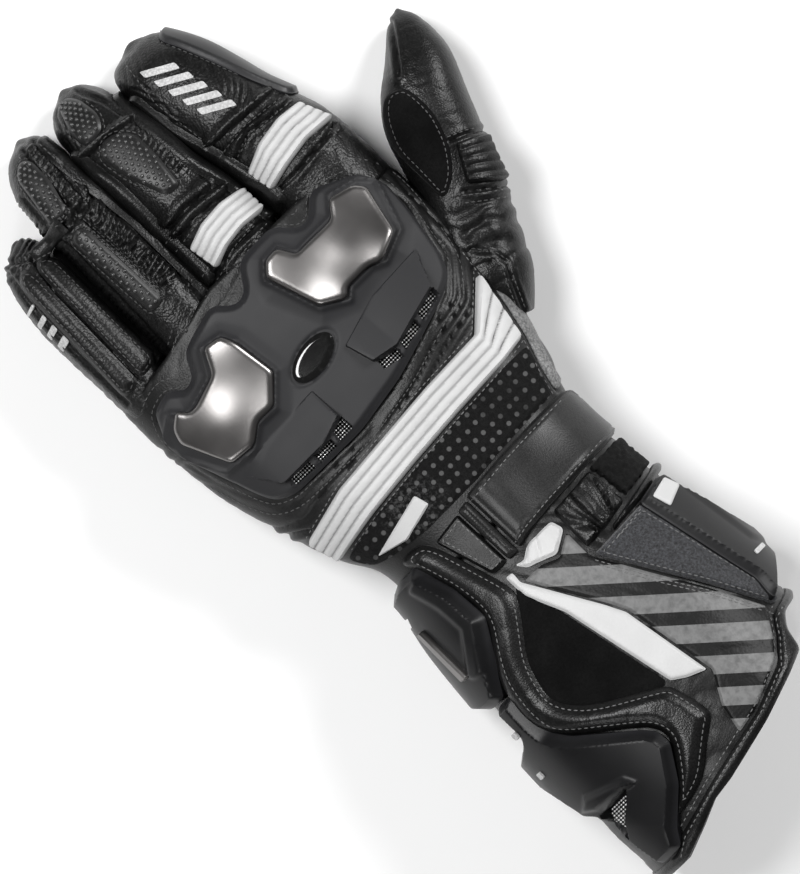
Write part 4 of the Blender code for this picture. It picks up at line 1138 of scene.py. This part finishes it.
for name, skin, outline, thick, node in (
    ("little_finger_pad", little, LITTLE_PAD, 1.5, "little_pad"),
    ("little_finger_side_pad", little, LITTLE_SIDE_PAD, 1.3, "little_side_pad"),
):
    piece = patch(name, skin, outline, pad(thick), pad_hide, "leather", [node], corner=3)
stud_rubber = moulded("studded_rubber", "#0c0c0c", "#262626", 0.4)
stud_gloss = moulded("glossy_stud_rubber", "#1c1c1c", "#444444", 0.24, 0.4, 0.003)
stud_gloss.node_tree.nodes["Principled BSDF"].inputs["Specular IOR Level"].default_value = 0.62
stud = bead(8, 6)
STUD = (0.66, 0.75, 0.66)
STUD_PITCH = 1.9
PAD_CORNER = 2.2
for name, skin, outline, node in (
    ("ring_tip_pad", ring, RING_TIP_PAD, "ring_tip_pad"),
    ("ring_back_pad", ring, RING_PAD, "ring_pad"),
    ("middle_tip_pad", middle, MIDDLE_TIP_PAD, "middle_tip_pad"),
    ("middle_back_pad", middle, MIDDLE_PAD, "middle_pad"),
):
    rule = pad(1.0, 1.4, 0.2)
    patch(name + "_base", skin, outline, rule, stud_rubber, "moulded_black", [node], corner=PAD_CORNER)
    edge = evenly(to_skin(skin, evenly(rounded(outline, PAD_CORNER), 0.3), 9), 0.6)
    spots = lattice(edge, STUD_PITCH, 1.0)
    place, out = on_skin(skin, spots[:, 0], spots[:, 1])
    deep = distance(spots[:, 0], spots[:, 1], closed(edge))
    place = place + out * rule(place[:, 0], place[:, 1], deep)[:, None]
    up_finger = np.broadcast_to((0.0, 1.0, 0.0), place.shape)
    set_out(name + "_studs", stud, STUD, [(skin, place, out, up_finger)], stud_gloss, "moulded_black")


# The bridge that ties the ring and little fingers, and the slider down the index finger's outer side.
# The bridge is a folded leather tab; the slider is a smooth moulded rail that lets the finger slide.
def finger_bridge():
    """A saddle of leather from one finger's shoulder to the other's."""
    points, faces, steps, sides = [], [], 26, 16
    for i in range(steps + 1):
        t = i / steps
        x = -48.6 + 13.6 * t
        z = 25.6 + 7.0 * t - 2.8 * math.sin(math.pi * t) ** 2
        tall = 1.5 * math.sin(math.pi * min(max(t, 0.03), 0.97)) ** 0.35
        for j in range(sides):
            a = 2 * math.pi * j / sides
            wrinkle = 1 + 0.12 * math.sin(9 * t + 2 * a)
            points.append((x, 152.4 + 1.4 * t + 2.6 * math.cos(a) * wrinkle, z + tall * math.sin(a)))
    for i in range(steps):
        for j in range(sides):
            k = (j + 1) % sides
            faces.append((i * sides + j, i * sides + k, (i + 1) * sides + k, (i + 1) * sides + j))
    faces += [tuple(range(sides)), tuple(steps * sides + j for j in range(sides))]
    return np.array(points) * MM, faces


new_piece("finger_bridge_leather", *finger_bridge(), smooth_hide, "leather", ["finger_bridge"], 60)
SLIDER = [
    (42.4, 131.6), (37, 143.5), (33, 155), (28.4, 167), (25, 174), (31, 176), (36, 171), (41, 162),
    (45, 150), (49, 131.6),
]
slider_tpu = moulded("satin_slider_tpu", "#151516", "#2c2c2e", 0.42, 0.5, 0.008)
patch("index_slider_rail", index, SLIDER, swell(0.5, 1.3, 1.6), slider_tpu,
      "moulded_black", ["index_slider"], corner=4, low=9)


# Fourchettes: the narrow strips of leather between the fingers, their seam allowances turned out as soft
# rolls. They run down both sides of each gap and meet in a puckered crotch.
def fourchette(seam_line, width=2.2, tall=1.9):
    """A strip that lies flat beside a standing, slightly uneven roll along its seam."""
    def rise(x, y, depth):
        away = distance(x, y, seam_line)
        uneven = 0.75 + 0.5 * noise(y / 6.5 + 3, x / 9 + 1)
        puckers = 0.35 * creases(x, y, 70, 4.5, 12, 2.0)
        roll = tall * uneven * np.exp(-(away / width) ** 2)
        return 0.5 * ease(depth, 0, 0.8) + (roll + puckers) * ease(depth, 0, 1.1)
    return rise


for name, skin, outline, line in (
    ("little_inner", little, [(-45.4, 151), (-40, 152), (-40, 103), (-44.8, 103)],
     [(-42.8, 150), (-42.6, 128), (-42.6, 104)]),
    ("index_inner", index, [(4, 168), (9.0, 167), (11.6, 148), (15.6, 134), (20.2, 115), (18.6, 109.4),
                            (10, 109.4), (6, 140)], [(7.6, 166), (10.2, 148), (13.8, 134), (17.8, 113)]),
    ("middle_inner", middle, [(3.0, 172), (8, 172), (14, 110), (9.8, 109.4), (8.6, 124), (3.6, 141),
                              (2.6, 158)], [(4.6, 171), (5.0, 157), (5.8, 141), (10.4, 123), (11.6, 110)]),
    ("middle_outer", middle, [(-21, 168), (-15.6, 168), (-13.2, 150), (-13.4, 128), (-12.6, 109),
                              (-18, 106), (-20, 140)], [(-16.8, 166), (-15.4, 150), (-15.2, 128),
                                                        (-14.6, 108)]),
    ("ring_inner", ring, [(-24.6, 178), (-19, 178), (-15, 150), (-14, 105), (-20, 106), (-20.2, 140),
                          (-22.8, 158)], [(-22.4, 176), (-21.2, 158), (-18.6, 140), (-18.2, 108)]),
):
    patch(f"fourchette_{name}", skin, outline, fourchette(line), smooth_hide, "leather", corner=3, low=10,
          spacing=0.55)


# The wrist: a perforated suede panel with a blank woven tag, a grey bound edge towards the thumb, and the
# closing strap, which passes through a folded keeper and is anchored with a stitched patch of leather.
PERFORATED = [
    (-45.5, 20.2), (-41, 13), (-34, 10.8), (-22, 9.4), (0, 9.6), (10, 10.6), (33.6, 11.6), (36.6, 20),
    (39, 27.6), (30, 27.8), (10, 26.8), (-10, 25.3), (-30, 23.3),
]
perforated, shader, place = start_material("perforated_black_suede", 0.8, Specular_IOR_Level=0.15)
nap = speckle(perforated, place, 1 / 0.0012, 6.0, 0.7)
holes = add(perforated, "TexVoronoi", {"feature": "F1", "voronoi_dimensions": "2D"}, {
    "Vector": place, "Scale": 1 / (3.6 * MM), "Randomness": 0.16,
})
# Holes about 1.5 mm across on a 3.6 mm pitch, pale where the dye didn't reach
rim_share = remap(perforated, holes.outputs["Distance"], 0.17, 0.24, 1.0, 0.0)
cloud = speckle(perforated, place, 60.0, 3.0)
fade = remap(perforated, cloud, 0.3, 0.5)
dots = maths(perforated, "MULTIPLY", rim_share, fade)
tone = ramp(perforated, nap, 0.35, "#040404", 0.75, "#151515")
speckled = mix(perforated, dots, tone, linear("#4e4e4e"))
# Pale scuffs lie round the tag, up to 13 mm from its middle
from_tag = add(perforated, "VectorMath", {"operation": "DISTANCE"}, {0: place, 1: (-0.021, 0.0165, 0.0515)})
near_tag = remap(perforated, from_tag.outputs["Value"], 0.005, 0.013, 1.0, 0.0)
worn = remap(perforated, nap, 0.5, 0.62)
scuffs = maths(perforated, "MULTIPLY", near_tag, worn)
scuffed = mix(perforated, scuffs, speckled, linear("#3c3c3c"))
join(perforated, scuffed, shader, "Base Color")
roughen(perforated, shader, nap, 0.0005, 0.9)
patch("perforated_panel_suede", body, PERFORATED,
      lambda x, y, depth: (0.4 + 0.8 * ease(depth, 0, 1.5)
                           + 0.5 * creases(x, y, 20, 5, 14, 4.0) * ease(depth, 0.5, 3)),
      perforated, "suede", ["perforated_panel"], spacing=0.7, corner=2)
TAG = [(-37.6, 14.6), (-28, 11.4), (-16, 14.4), (-17.4, 19.4)]
patch("blank_side_tag", body, TAG,
      lambda x, y, depth: 1.3 + 0.6 * ease(depth, 0, 0.5) + 0.25 * np.sin(x / 3.1),
      white_leather, "white_leather", ["side_label"], spacing=0.6, corner=0.6, base=0.9)
PIPING = [
    (46.2, 62), (44.2, 45), (40.6, 28.6), (37.2, 19), (35.4, 11.6), (38.2, 11.6), (40.2, 19), (43.6, 28.6),
    (47, 45), (48.8, 62),
]
grey_binding = leather("grey_binding_leather", "#4a4a4a", "#8a8a8a", 0.5, 0.7, 0.08)
patch("side_piping_binding", body, PIPING, lambda x, y, depth: 0.3 + 1.2 * np.sqrt(ease(depth, 0, 2.2)),
      grey_binding, "grey_print", ["side_piping"], spacing=0.6, corner=3, low=31)
STRAP = [
    (-6.6, 8.1), (10, 9.5), (30, 10.2), (37, 10), (38.3, 0), (39, -10.5), (30, -11), (10, -12), (0, -13),
    (-6, -14.3),
]
ANCHOR = [(-23, 4.8), (-12.2, 6.2), (-11.4, -14.6), (-17.4, -14.6), (-20.4, -4.4)]
KEEPER = [(-11.7, 6.6), (-7.3, 7.2), (-6.9, -15), (-10.9, -14.8)]
strap_hide = leather("smooth_strap_hide", "#080808", "#161616", 0.33, 0.55, 0.06)
satin_hide = leather("satin_strap_hide", "#141414", "#262626", 0.4, 0.5, 0.03)


def strap_rise(x, y, depth):
    bulge = 1.2 * np.exp(-((x + 1.5) / 3.6) ** 2)
    wave = 0.16 * np.sin(x / 6.5 + 0.6) + 0.3 * (noise(x / 9, y / 11) - 0.5)
    return 0.9 + 1.5 * ease(depth, 0, 1.0) + bulge + wave - 0.35 * np.exp(-((depth - 1.8) / 0.5) ** 2)


patch("wrist_strap_leather", body, STRAP, strap_rise, satin_hide, "leather", ["wrist_strap"], corner=1.2,
      low=14)
patch("strap_anchor_leather", body, ANCHOR,
      swell(0.4, 1.3, 0.9), black_cowhide, "leather", ["strap_anchor"], corner=1.2)
patch("strap_keeper_leather", body, KEEPER,
      lambda x, y, depth: 0.6 + 2.4 * np.sqrt(ease(depth, -0.2, 1.6)) - 0.5 * np.exp(-((x + 9.4) / 0.4) ** 2),
      satin_hide, "leather", ["strap_keeper"], corner=1.2)


# The wrist guards: two hard shells on the cuff's outer side, moulded in smoother, glossier TPU with faceted
# planes, set inside a foam surround covered in soft leather and stitched down along both its edges.
SURROUND = [
    (-35, 8.4), (-33, 3), (-29, -10), (-28, -22), (-36, -34), (-39.4, -41), (-41, -52), (-40, -60),
    (-36, -65), (-18, -79), (-15, -83), (-14.6, -88), (-22, -98), (-31, -106.4), (-17, -103.2), (-4, -93),
    (-0.8, -91), (-0.6, -87), (-3, -76.8), (-5.5, -74.3), (-20, -66.2), (-26, -62), (-30.3, -57),
    (-32, -52), (-29, -41), (-17, -25), (-16.6, -20), (-21.4, -4), (-24, 4), (-27, 8),
]


def surround_rise(x, y, depth):
    return 0.5 + 3.3 * np.sqrt(ease(depth, -0.1, 4.6)) + 0.25 * creases(x, y, 40, 6, 16, 5.0) * ease(depth,
        1, 3)


surround = patch("padded_guard_surround", body, SURROUND, surround_rise, strap_hide, "leather",
                 ["guard_surround"], spacing=0.65, corner=5)
UPPER_GUARD = [
    (-47, 1.6), (-41.5, 4.2), (-38, 3.4), (-34.4, 4), (-30, -10.4), (-29, -22.4), (-37, -34.4), (-41, -39.5),
    (-43.6, -43.8), (-49, -43.8), (-53.6, -39.5), (-51.5, -26), (-50.4, -16), (-48, -8),
]
LOWER_GUARD = [
    (-47.9, -44.6), (-42.4, -44.6), (-42, -53), (-41.2, -60.6), (-37, -66), (-19, -80), (-16.2, -83.6),
    (-15.8, -88.2), (-23, -98.8), (-33.6, -108), (-37, -112.8), (-45.4, -113), (-46.6, -105), (-48, -90.5),
    (-50.3, -88.5), (-54.4, -65), (-53.6, -61), (-47.7, -56),
]
guard_tpu = moulded("glossy_moulded_tpu", "#0a0a0b", "#232325", 0.36, 0.4, 0.01)
guard_tpu.node_tree.nodes["Principled BSDF"].inputs["Specular IOR Level"].default_value = 0.2
RIDGE_LINE = [(-33, -2), (-31.4, -12), (-31, -21.5), (-38, -32.5)]
WINDOW = [(-43.4, -93.4), (-41.4, -89.4), (-32.4, -89), (-38.4, -95.4), (-41.4, -100.4)]


def upper_guard_rise(x, y, depth):
    bevel = 2.6 + 3.0 * np.clip(depth / 2.6, 0, 1)
    plane = 6.9 + 0.05 * (x + 40) - 0.02 * (y + 20)
    ridge = np.minimum(bevel, plane)
    notch = depth_in(x, y, [(-44, -6), (-40.4, -6.6), (-41.4, -9.8), (-44.4, -9.4)])
    ridge = ridge - 1.8 * ease(notch, -0.2, 0.6)
    return ridge + 1.2 * ease(-distance(x, y, RIDGE_LINE), -2.8, -1.0)


def lower_guard_rise(x, y, depth):
    bevel = 2.4 + 3.2 * np.clip(depth / 2.8, 0, 1)
    fold = 6.8 - 0.10 * np.abs((x + 33) * 0.78 + (y + 84) * 0.62)
    height = np.minimum(bevel, fold)
    scoop = depth_in(x, y, [(-44.6, -85), (-41, -81.6), (-30.6, -86.2), (-29, -89.8), (-41, -88.2)])
    height = height + 2.4 * ease(scoop, -0.6, 2.0)
    opened = ease(depth_in(x, y, WINDOW), -0.3, 0.25)
    return height * (1 - opened) + 1.2 * opened


patch("wrist_guard_upper_shell", body, UPPER_GUARD, upper_guard_rise, guard_tpu, "moulded_black",
      ["wrist_guard_upper"], corner=1.4, low=14, angle=28, lines=[RIDGE_LINE], lift=5)
patch("wrist_guard_lower_shell", body, LOWER_GUARD, lower_guard_rise, guard_tpu, "moulded_black",
      ["wrist_guard_lower"], corner=1.4, low=14, angle=28, lines=[closed(WINDOW)], lift=5)
patch("guard_window_wire", body, [(-42.6, -93.4), (-41.2, -90.2), (-33.6, -89.8), (-38.6, -94.8),
                                  (-41.2, -99)], swell(1.9), wire_cloth, "silver_mesh", ["guard_mesh"],
      spacing=0.5, corner=0.4, base=1.5)
patch("guard_insert_steel", body, [(-46.9, -13), (-45.4, -13), (-45.2, -32.4), (-47.2, -32.4)],
      swell(6.2, 1.2, 0.5), satin_steel, "satin_metal", ["guard_insert"],
      spacing=0.4, corner=0.4, base=5.0, lift=6.5)


# The cuff's back: a matt suede panel, a white stripe and tab, a smooth panel screen-printed with plain grey
# bars, and the flap with its loop patch, moulded strip and bound edges. Each is cut flat and sewn down.
SUEDE_PANEL = [
    (-15, -21.5), (-11, -36), (-3.2, -74), (-6, -75.2), (-20.4, -67), (-26.6, -62.8), (-31, -57.4),
    (-32.4, -52), (-29.6, -41), (-17.6, -25),
]
patch("cuff_suede_panel", body, SUEDE_PANEL, swell(0.2, 0.5, 1.0), suede, "suede",
      spacing=1.0, corner=1)
STRIPE = [
    (-15.6, -18), (-13, -18.2), (-13.3, -22), (0, -45), (3, -51), (8, -80.4), (2, -77.8), (-2.2, -75),
    (-10, -38), (-15.3, -26),
]
patch("cuff_stripe_leather", body, STRIPE,
      lambda x, y, depth: 0.5 + 0.8 * ease(depth, 0, 0.8) + 0.2 * (noise(x / 5, y / 6) - 0.5), white_leather,
      "white_leather", ["cuff_stripe"], spacing=0.7, corner=0.6)
PRINT = [
    (-12.2, -22.6), (-5, -22.8), (0.4, -25.2), (7.2, -21.2), (7.2, -31), (16.8, -48), (25, -62), (34, -79.6),
    (29.2, -87.4), (24.4, -93.2), (10, -99), (1.6, -100.8), (3.6, -91), (9.2, -81.6), (3.9, -51), (0.9, -45),
]
printed, shader, place = start_material("screen_printed_hide", 0.46, Specular_IOR_Level=0.22)
parts = add(printed, "SeparateXYZ", {}, {"Vector": place})
slant = maths(printed, "MULTIPLY_ADD", parts.outputs["X"], 0.9, parts.outputs["Y"])
# Bars about 5.6 mm wide on a 9.7 mm pitch, slanted across the panel
wave = maths(printed, "PINGPONG", slant, 6.5 * MM)
ink = maths(printed, "GREATER_THAN", wave, 2.7 * MM)
crazing = speckle(printed, place, 500.0, 5.0)
shade_of_ink = ramp(printed, crazing, 0.3, "#575757", 0.6, "#6c6c6c")
hide_tone = ramp(printed, crazing, 0, "#040404", 1, "#111111")
painted = mix(printed, ink, hide_tone, shade_of_ink)
join(printed, painted, shader, "Base Color")
grain = add(printed, "TexVoronoi", {"feature": "SMOOTH_F1"}, {"Vector": place, "Scale": 1 / 0.0008})
roughen(printed, shader, grain.outputs["Distance"], 0.00008, 0.8)
patch("printed_cuff_panel", body, PRINT,
      lambda x, y, depth: (0.4 + 0.8 * ease(depth, 0, 0.8)
                           + 0.35 * creases(x, y, -60, 4, 12, 6.0) * ease(depth, 0, 2)),
      printed, "grey_print", ["printed_panel"], spacing=0.8, corner=0.8)
TAB = [
    (-11, -17.2), (-7.8, -18.2), (-4, -15.5), (6.3, -15.5), (7.5, -19.7), (0.5, -23.9), (-5, -21.6),
    (-8.4, -20.6),
]
patch("strap_end_tab", body, TAB,
      lambda x, y, depth: 0.8 + 0.9 * ease(depth, 0, 0.9) + 0.6 * creases(x, y, 60, 4, 10, 7.0),
      white_leather, "white_leather", ["strap_tab"], spacing=0.5, corner=1.2)
# The velour's loops are 0.8 mm across and the tape's hooks 1.3 mm
velour = plain_material("brushed_loop_velour", 0.95, (1 / (0.8 * MM), 5.0, 0.75),
                        (0.38, "#101011", 0.66, "#424347"), (0.6 * MM, 0.9), Sheen_Weight=0.15,
                        Sheen_Roughness=0.5)
hook_tape = plain_material("black_hook_tape", 0.9, (1 / (1.3 * MM), 5.0, 0.75),
                           (0.4, "#080808", 0.8, "#1c1c1c"), (1.2 * MM, 1.0), Specular_IOR_Level=0.15)
HOOK = [(26.6, -12.6), (39, -12.2), (40.5, -24.4), (28.2, -26)]
# Its cut edge is frayed
frayed = evenly(HOOK, 0.8)
frayed = [tuple(point) for point in frayed + 0.9 * (LATTICE[:len(frayed), :2] - 0.5)]
patch("hook_tape_patch", body, frayed,
      lambda x, y, depth: 0.8 + 0.9 * noise(x / 1.1, y / 1.1) * ease(depth, -0.4, 0.5),
      hook_tape, "velour", ["hook_patch"], spacing=0.5, corner=0.1, low=14)
VELOUR = [
    (8.6, -31.9), (29.4, -31.2), (32.8, -45), (39.2, -72), (38.4, -79), (36.7, -81.4), (26.4, -61.8),
    (18, -47.8),
]
patch("flap_loop_velour", body, VELOUR,
      lambda x, y, depth: 0.7 + 1.4 * ease(depth, 0, 0.8) + 0.25 * noise(x / 0.9, y / 0.9), velour, "velour",
      ["flap_velour"], spacing=0.55, corner=0.8, low=14)
FLAP_EDGE = [(18, -29.9), (28.5, -27.9), (44, -25), (44, -28), (29, -30.2), (18, -31)]
patch("flap_edge_leather", body, FLAP_EDGE, lambda x, y, depth: 0.7 + 2.0 * np.sqrt(ease(depth, -0.3, 1.2)),
      smooth_hide, "leather", ["flap_edge"], spacing=0.45, corner=0.8, low=14)
FLAP_GUARD = [
    (30.4, -31.2), (41, -29.2), (46, -53), (48, -62), (50.2, -69), (44, -76.4), (40, -80.4), (39.3, -78),
    (40, -72), (33.6, -45),
]
FLAP_FIELD = [(37.8, -38.6), (41.8, -38.0), (47.4, -62.6), (43.4, -68.4), (40.6, -62)]


def flap_guard_rise(x, y, depth):
    return 3.0 + 2.6 * ease(depth, 0, 1.6) + 0.9 * ease(depth_in(x, y, FLAP_FIELD), -0.5, 0.7)


flap_tpu = moulded("matt_flap_tpu", "#0c0c0d", "#1c1c1e", 0.52)
patch("flap_guard_strip", body, FLAP_GUARD, flap_guard_rise, flap_tpu, "moulded_black", ["flap_guard"],
      corner=1.6, low=14, lines=[closed(FLAP_FIELD)], lift=5)
patch("blank_flap_label", body, [(33.8, -33.2), (40.4, -31.6), (42.2, -36.4), (35.6, -39)],
      swell(5.9, 0.4, 0.4), white_leather, "white_leather", ["flap_label"], spacing=0.5,
      corner=0.5, base=5.2, low=14, lift=6)
BINDING_LINE = [
    (-70, -113.8), (-37.5, -113.8), (-33, -110.6), (-15, -105.4), (0, -102), (10, -100), (25, -94.2),
    (30.4, -88.4), (33.8, -83.4), (36.8, -82.6), (41, -81.6), (46, -78.4), (70, -76),
]
patch("cuff_binding_leather", body, CUFF_END[::-1] + BINDING_LINE,
      lambda x, y, depth: 0.2 + 1.3 * np.sqrt(ease(depth, -0.2, 2.0)),
      smooth_hide, "leather", ["cuff_binding"], corner=1.5, low=1.0)


# Plain printed marks: slanted white bars on the index finger, short ones on the little finger's outer side
# and on the wrist guards. Thick screen-printing ink, with the hide's grain showing through it.
white_ink = leather("white_screen_ink", "#9a9a9a", "#c8c8c8", 0.5, 0.7, 0.05)
marks = []
for y in (147.5, 152.6, 157.7, 162.8, 167.9):
    left, right = 19.4 - 0.21 * (y - 145), 29 - 0.21 * (y - 145)
    marks.append((index, [(left, y), (right, y - 5.5), (right, y - 3), (left, y + 2.5)]))
for y, wide in ((141.4, 1.0), (136, 1.8), (131.4, 2.2), (126.4, 2.6)):
    marks.append((little, [(-62.2, y), (-58.6, y + 1), (-58.6, y + 1 + wide), (-62.2, y + wide)]))
for number, (skin, outline) in enumerate(marks):
    patch(f"printed_bar_{number + 1}", skin, outline, swell(0.34), white_ink, "grey_print",
          spacing=0.6, corner=0.3)
for number, (x, y, wide, tall, high) in enumerate((
    (-42.6, -8, 2.6, 1.4, 5.4), (-46.6, -54.8, 1.2, 2.2, 6.4), (-49.8, -68.4, 1.2, 2.2, 6.2),
    (44.8, -66.4, 3.4, 1.5, 6.0),
)):
    corners = [(x + a * wide / 2, y + b * tall / 2) for a, b in ((-1, -1), (1, -1), (1, 1), (-1, 1))]
    patch(f"printed_mark_{number + 1}", body, corners, swell(high), white_ink, "grey_print",
          spacing=0.4, corner=0.2, low=14, base=high - 0.9, lift=5)


# The sewing: bonded nylon thread in rows of short stitches, each sunk a little into what it holds. Rows on
# the fingers, the thumb and the guard are in charcoal thread, those on the wrist and the cuff in grey.
NOT_SEWN = ("floor", "moulding", "rolls", "shell", "steel", "strip", "wire", "rail", "studs", "lens", "tag")


def sew(name, rows, thread_material, pitch=1.9):
    """Stitches along lines seen from above, laid where the lines meet the glove's top surface."""
    graph = bpy.context.evaluated_depsgraph_get()
    places, outs, runs = [], [], []
    for line, looped in rows:
        spots = evenly(line, pitch, looped)
        ahead = np.roll(spots, -1, 0) - np.roll(spots, 1, 0) if looped else np.gradient(spots, axis=0)
        for (x, y), (run_x, run_y) in zip(spots, ahead):
            hits = []
            for share in (-0.25, 0.25):
                start = Vector(((x + run_x * share) * MM, (y + run_y * share) * MM, 0.12))
                hit, spot, normal, _, piece, _ = bpy.context.scene.ray_cast(graph, start, Vector((0, 0, -1)))
                if hit and piece.name.split("_")[-1] not in NOT_SEWN and normal.z > 0.2:
                    hits.append((np.array(spot) / MM, np.array(normal)))
            if len(hits) == 2 and abs(hits[0][0][2] - hits[1][0][2]) < 1.6:
                places.append((hits[0][0] + hits[1][0]) / 2 + np.array([0, 0, 0.05]))
                outs.append((hits[0][1] + hits[1][1]) / np.linalg.norm(hits[0][1] + hits[1][1]))
                runs.append(hits[1][0] - hits[0][0])
    spots = [(body, np.array(places), np.array(outs), np.array(runs))]
    return set_out(name, stitch, STITCH, spots, thread_material, "leather")


def shifted(line, by_x, by_y):
    return [(x + by_x, y + by_y) for x, y in line]


def ended(*lines):
    """Rows of stitches along lines with two ends."""
    return [(line, False) for line in lines]


def thumb_line(points):
    """Points of the thumb's own leaning grid, as the glove's."""
    return [tuple(point[:2]) for point in in_metres(thumb, np.array([(x, y, 0) for x, y in points])) / MM]


studded = (RING_TIP_PAD, RING_PAD, MIDDLE_TIP_PAD, MIDDLE_PAD)
finger_rows = [(rim(outline, 0.9, PAD_CORNER), True) for outline in studded]
finger_rows += [(rim(outline, -1.1, 3), True) for outline in (LITTLE_PAD, LITTLE_SIDE_PAD)]
finger_rows += ended(
    [(-16.4, 127.6), (-5, 128.8), (9.6, 127.4)], [(-16, 123.6), (-5, 125), (9.4, 123.4)],
    [(-15.6, 112.6), (-4, 114.2), (9, 113.8)],
    [(-15, 108.4), (-4, 110.2), (9, 110)], [(14, 134.6), (25, 136), (41, 134)],
    [(16, 130.4), (25, 132.4), (41, 131.4)],
    [(18, 113.6), (26, 113.2), (45, 114.8)], [(17.6, 116.8), (26, 116.8), (45, 118)],
    [(12.6, 140.4), (24, 140.2), (38, 138.6)], [(44, 113), (42, 132), (36.6, 145), (31, 160), (26, 172)],
    [(-29.9, 178), (-30.4, 168), (-30.4, 156)], [(-22.6, 178), (-22.4, 170), (-23.6, 156)],
    [(-29.2, 150), (-28, 130), (-27.8, 118)], [(-38.4, 103), (-31, 107), (-24, 110.4), (-19.4, 115)],
    [(-37.8, 105.4), (-31, 109.2), (-25, 112.4), (-21, 116.6)], [(-16, 165.6), (-8, 165), (2, 163)],
    [(-55.4, 156), (-49.4, 152.4), (-44, 150.8)], [(13.4, 176.4), (11.2, 160), (13.4, 143)],
)
sew("finger_stitches", finger_rows, dark_thread)
thumb_rows = [(rim(thumb_line(THUMB_PATCH), -1.2, 4), True)]
thumb_rows += ended(
    thumb_line([(-1, 41.2), (4, 40.2), (12.4, 38.8)]),
    thumb_line([(-1, 38.8), (4, 37.8), (12.4, 36.4)]),
    thumb_line([(0.4, 59.8), (6, 60), (12, 59.4)]),
)
thumb_rows += ended(
    [(48.6, 60), (52.6, 55), (53.6, 50), (50.6, 44), (46.6, 35)],
    [(46.4, 59), (50.2, 54.6), (51, 50), (48.2, 44.6), (44.4, 36)],
)
sew("thumb_stitches", thumb_rows, dark_thread)
sew("guard_stitches", [(rim(KNUCKLE_GUARD, 1.0, 3.5), True), (rim(KNUCKLE_GUARD, 4.2, 5), True)],
    dark_thread)
hand_rows = ended(
    shifted(BACK_PANEL[0], 0, -1.1), shifted(BACK_PANEL[1], 0, 1.1),
    [(45.4, 61), (43.2, 45), (39.6, 29), (36.2, 19), (34.4, 12)],
)
sew("hand_stitches", hand_rows, grey_thread)
strap_rows = ended(
    [(-5.6, 6.2), (10, 7.6), (30, 8.4), (38, 8.2)],
    [(-5.4, -12.2), (0, -11.1), (10, -10.1), (30, -9.2), (38, -8.8)],
)
strap_rows += [(rim(ANCHOR, -1.5, 1.2), True)]
sew("strap_stitches", strap_rows, grey_thread)
FLAP_SIDE = [(8.4, -33), (17.4, -49.4), (25.8, -63), (34.6, -80)]
cuff_rows = [(rim(SURROUND, -1.7, 5), True), (rim(VELOUR, -1.4, 0.8), True)]
cuff_rows += ended(
    shifted(FLAP_SIDE, -0.6, -0.6), shifted(FLAP_SIDE, -0.6, -2.6),
    shifted(BINDING_LINE[1:-1], 0, 1.6), shifted(BINDING_LINE[1:-1], 0, -1.2),
    [(18, -32.8), (29, -32), (31.6, -31)],
)
sew("cuff_stitches", cuff_rows, grey_thread, 1.95)
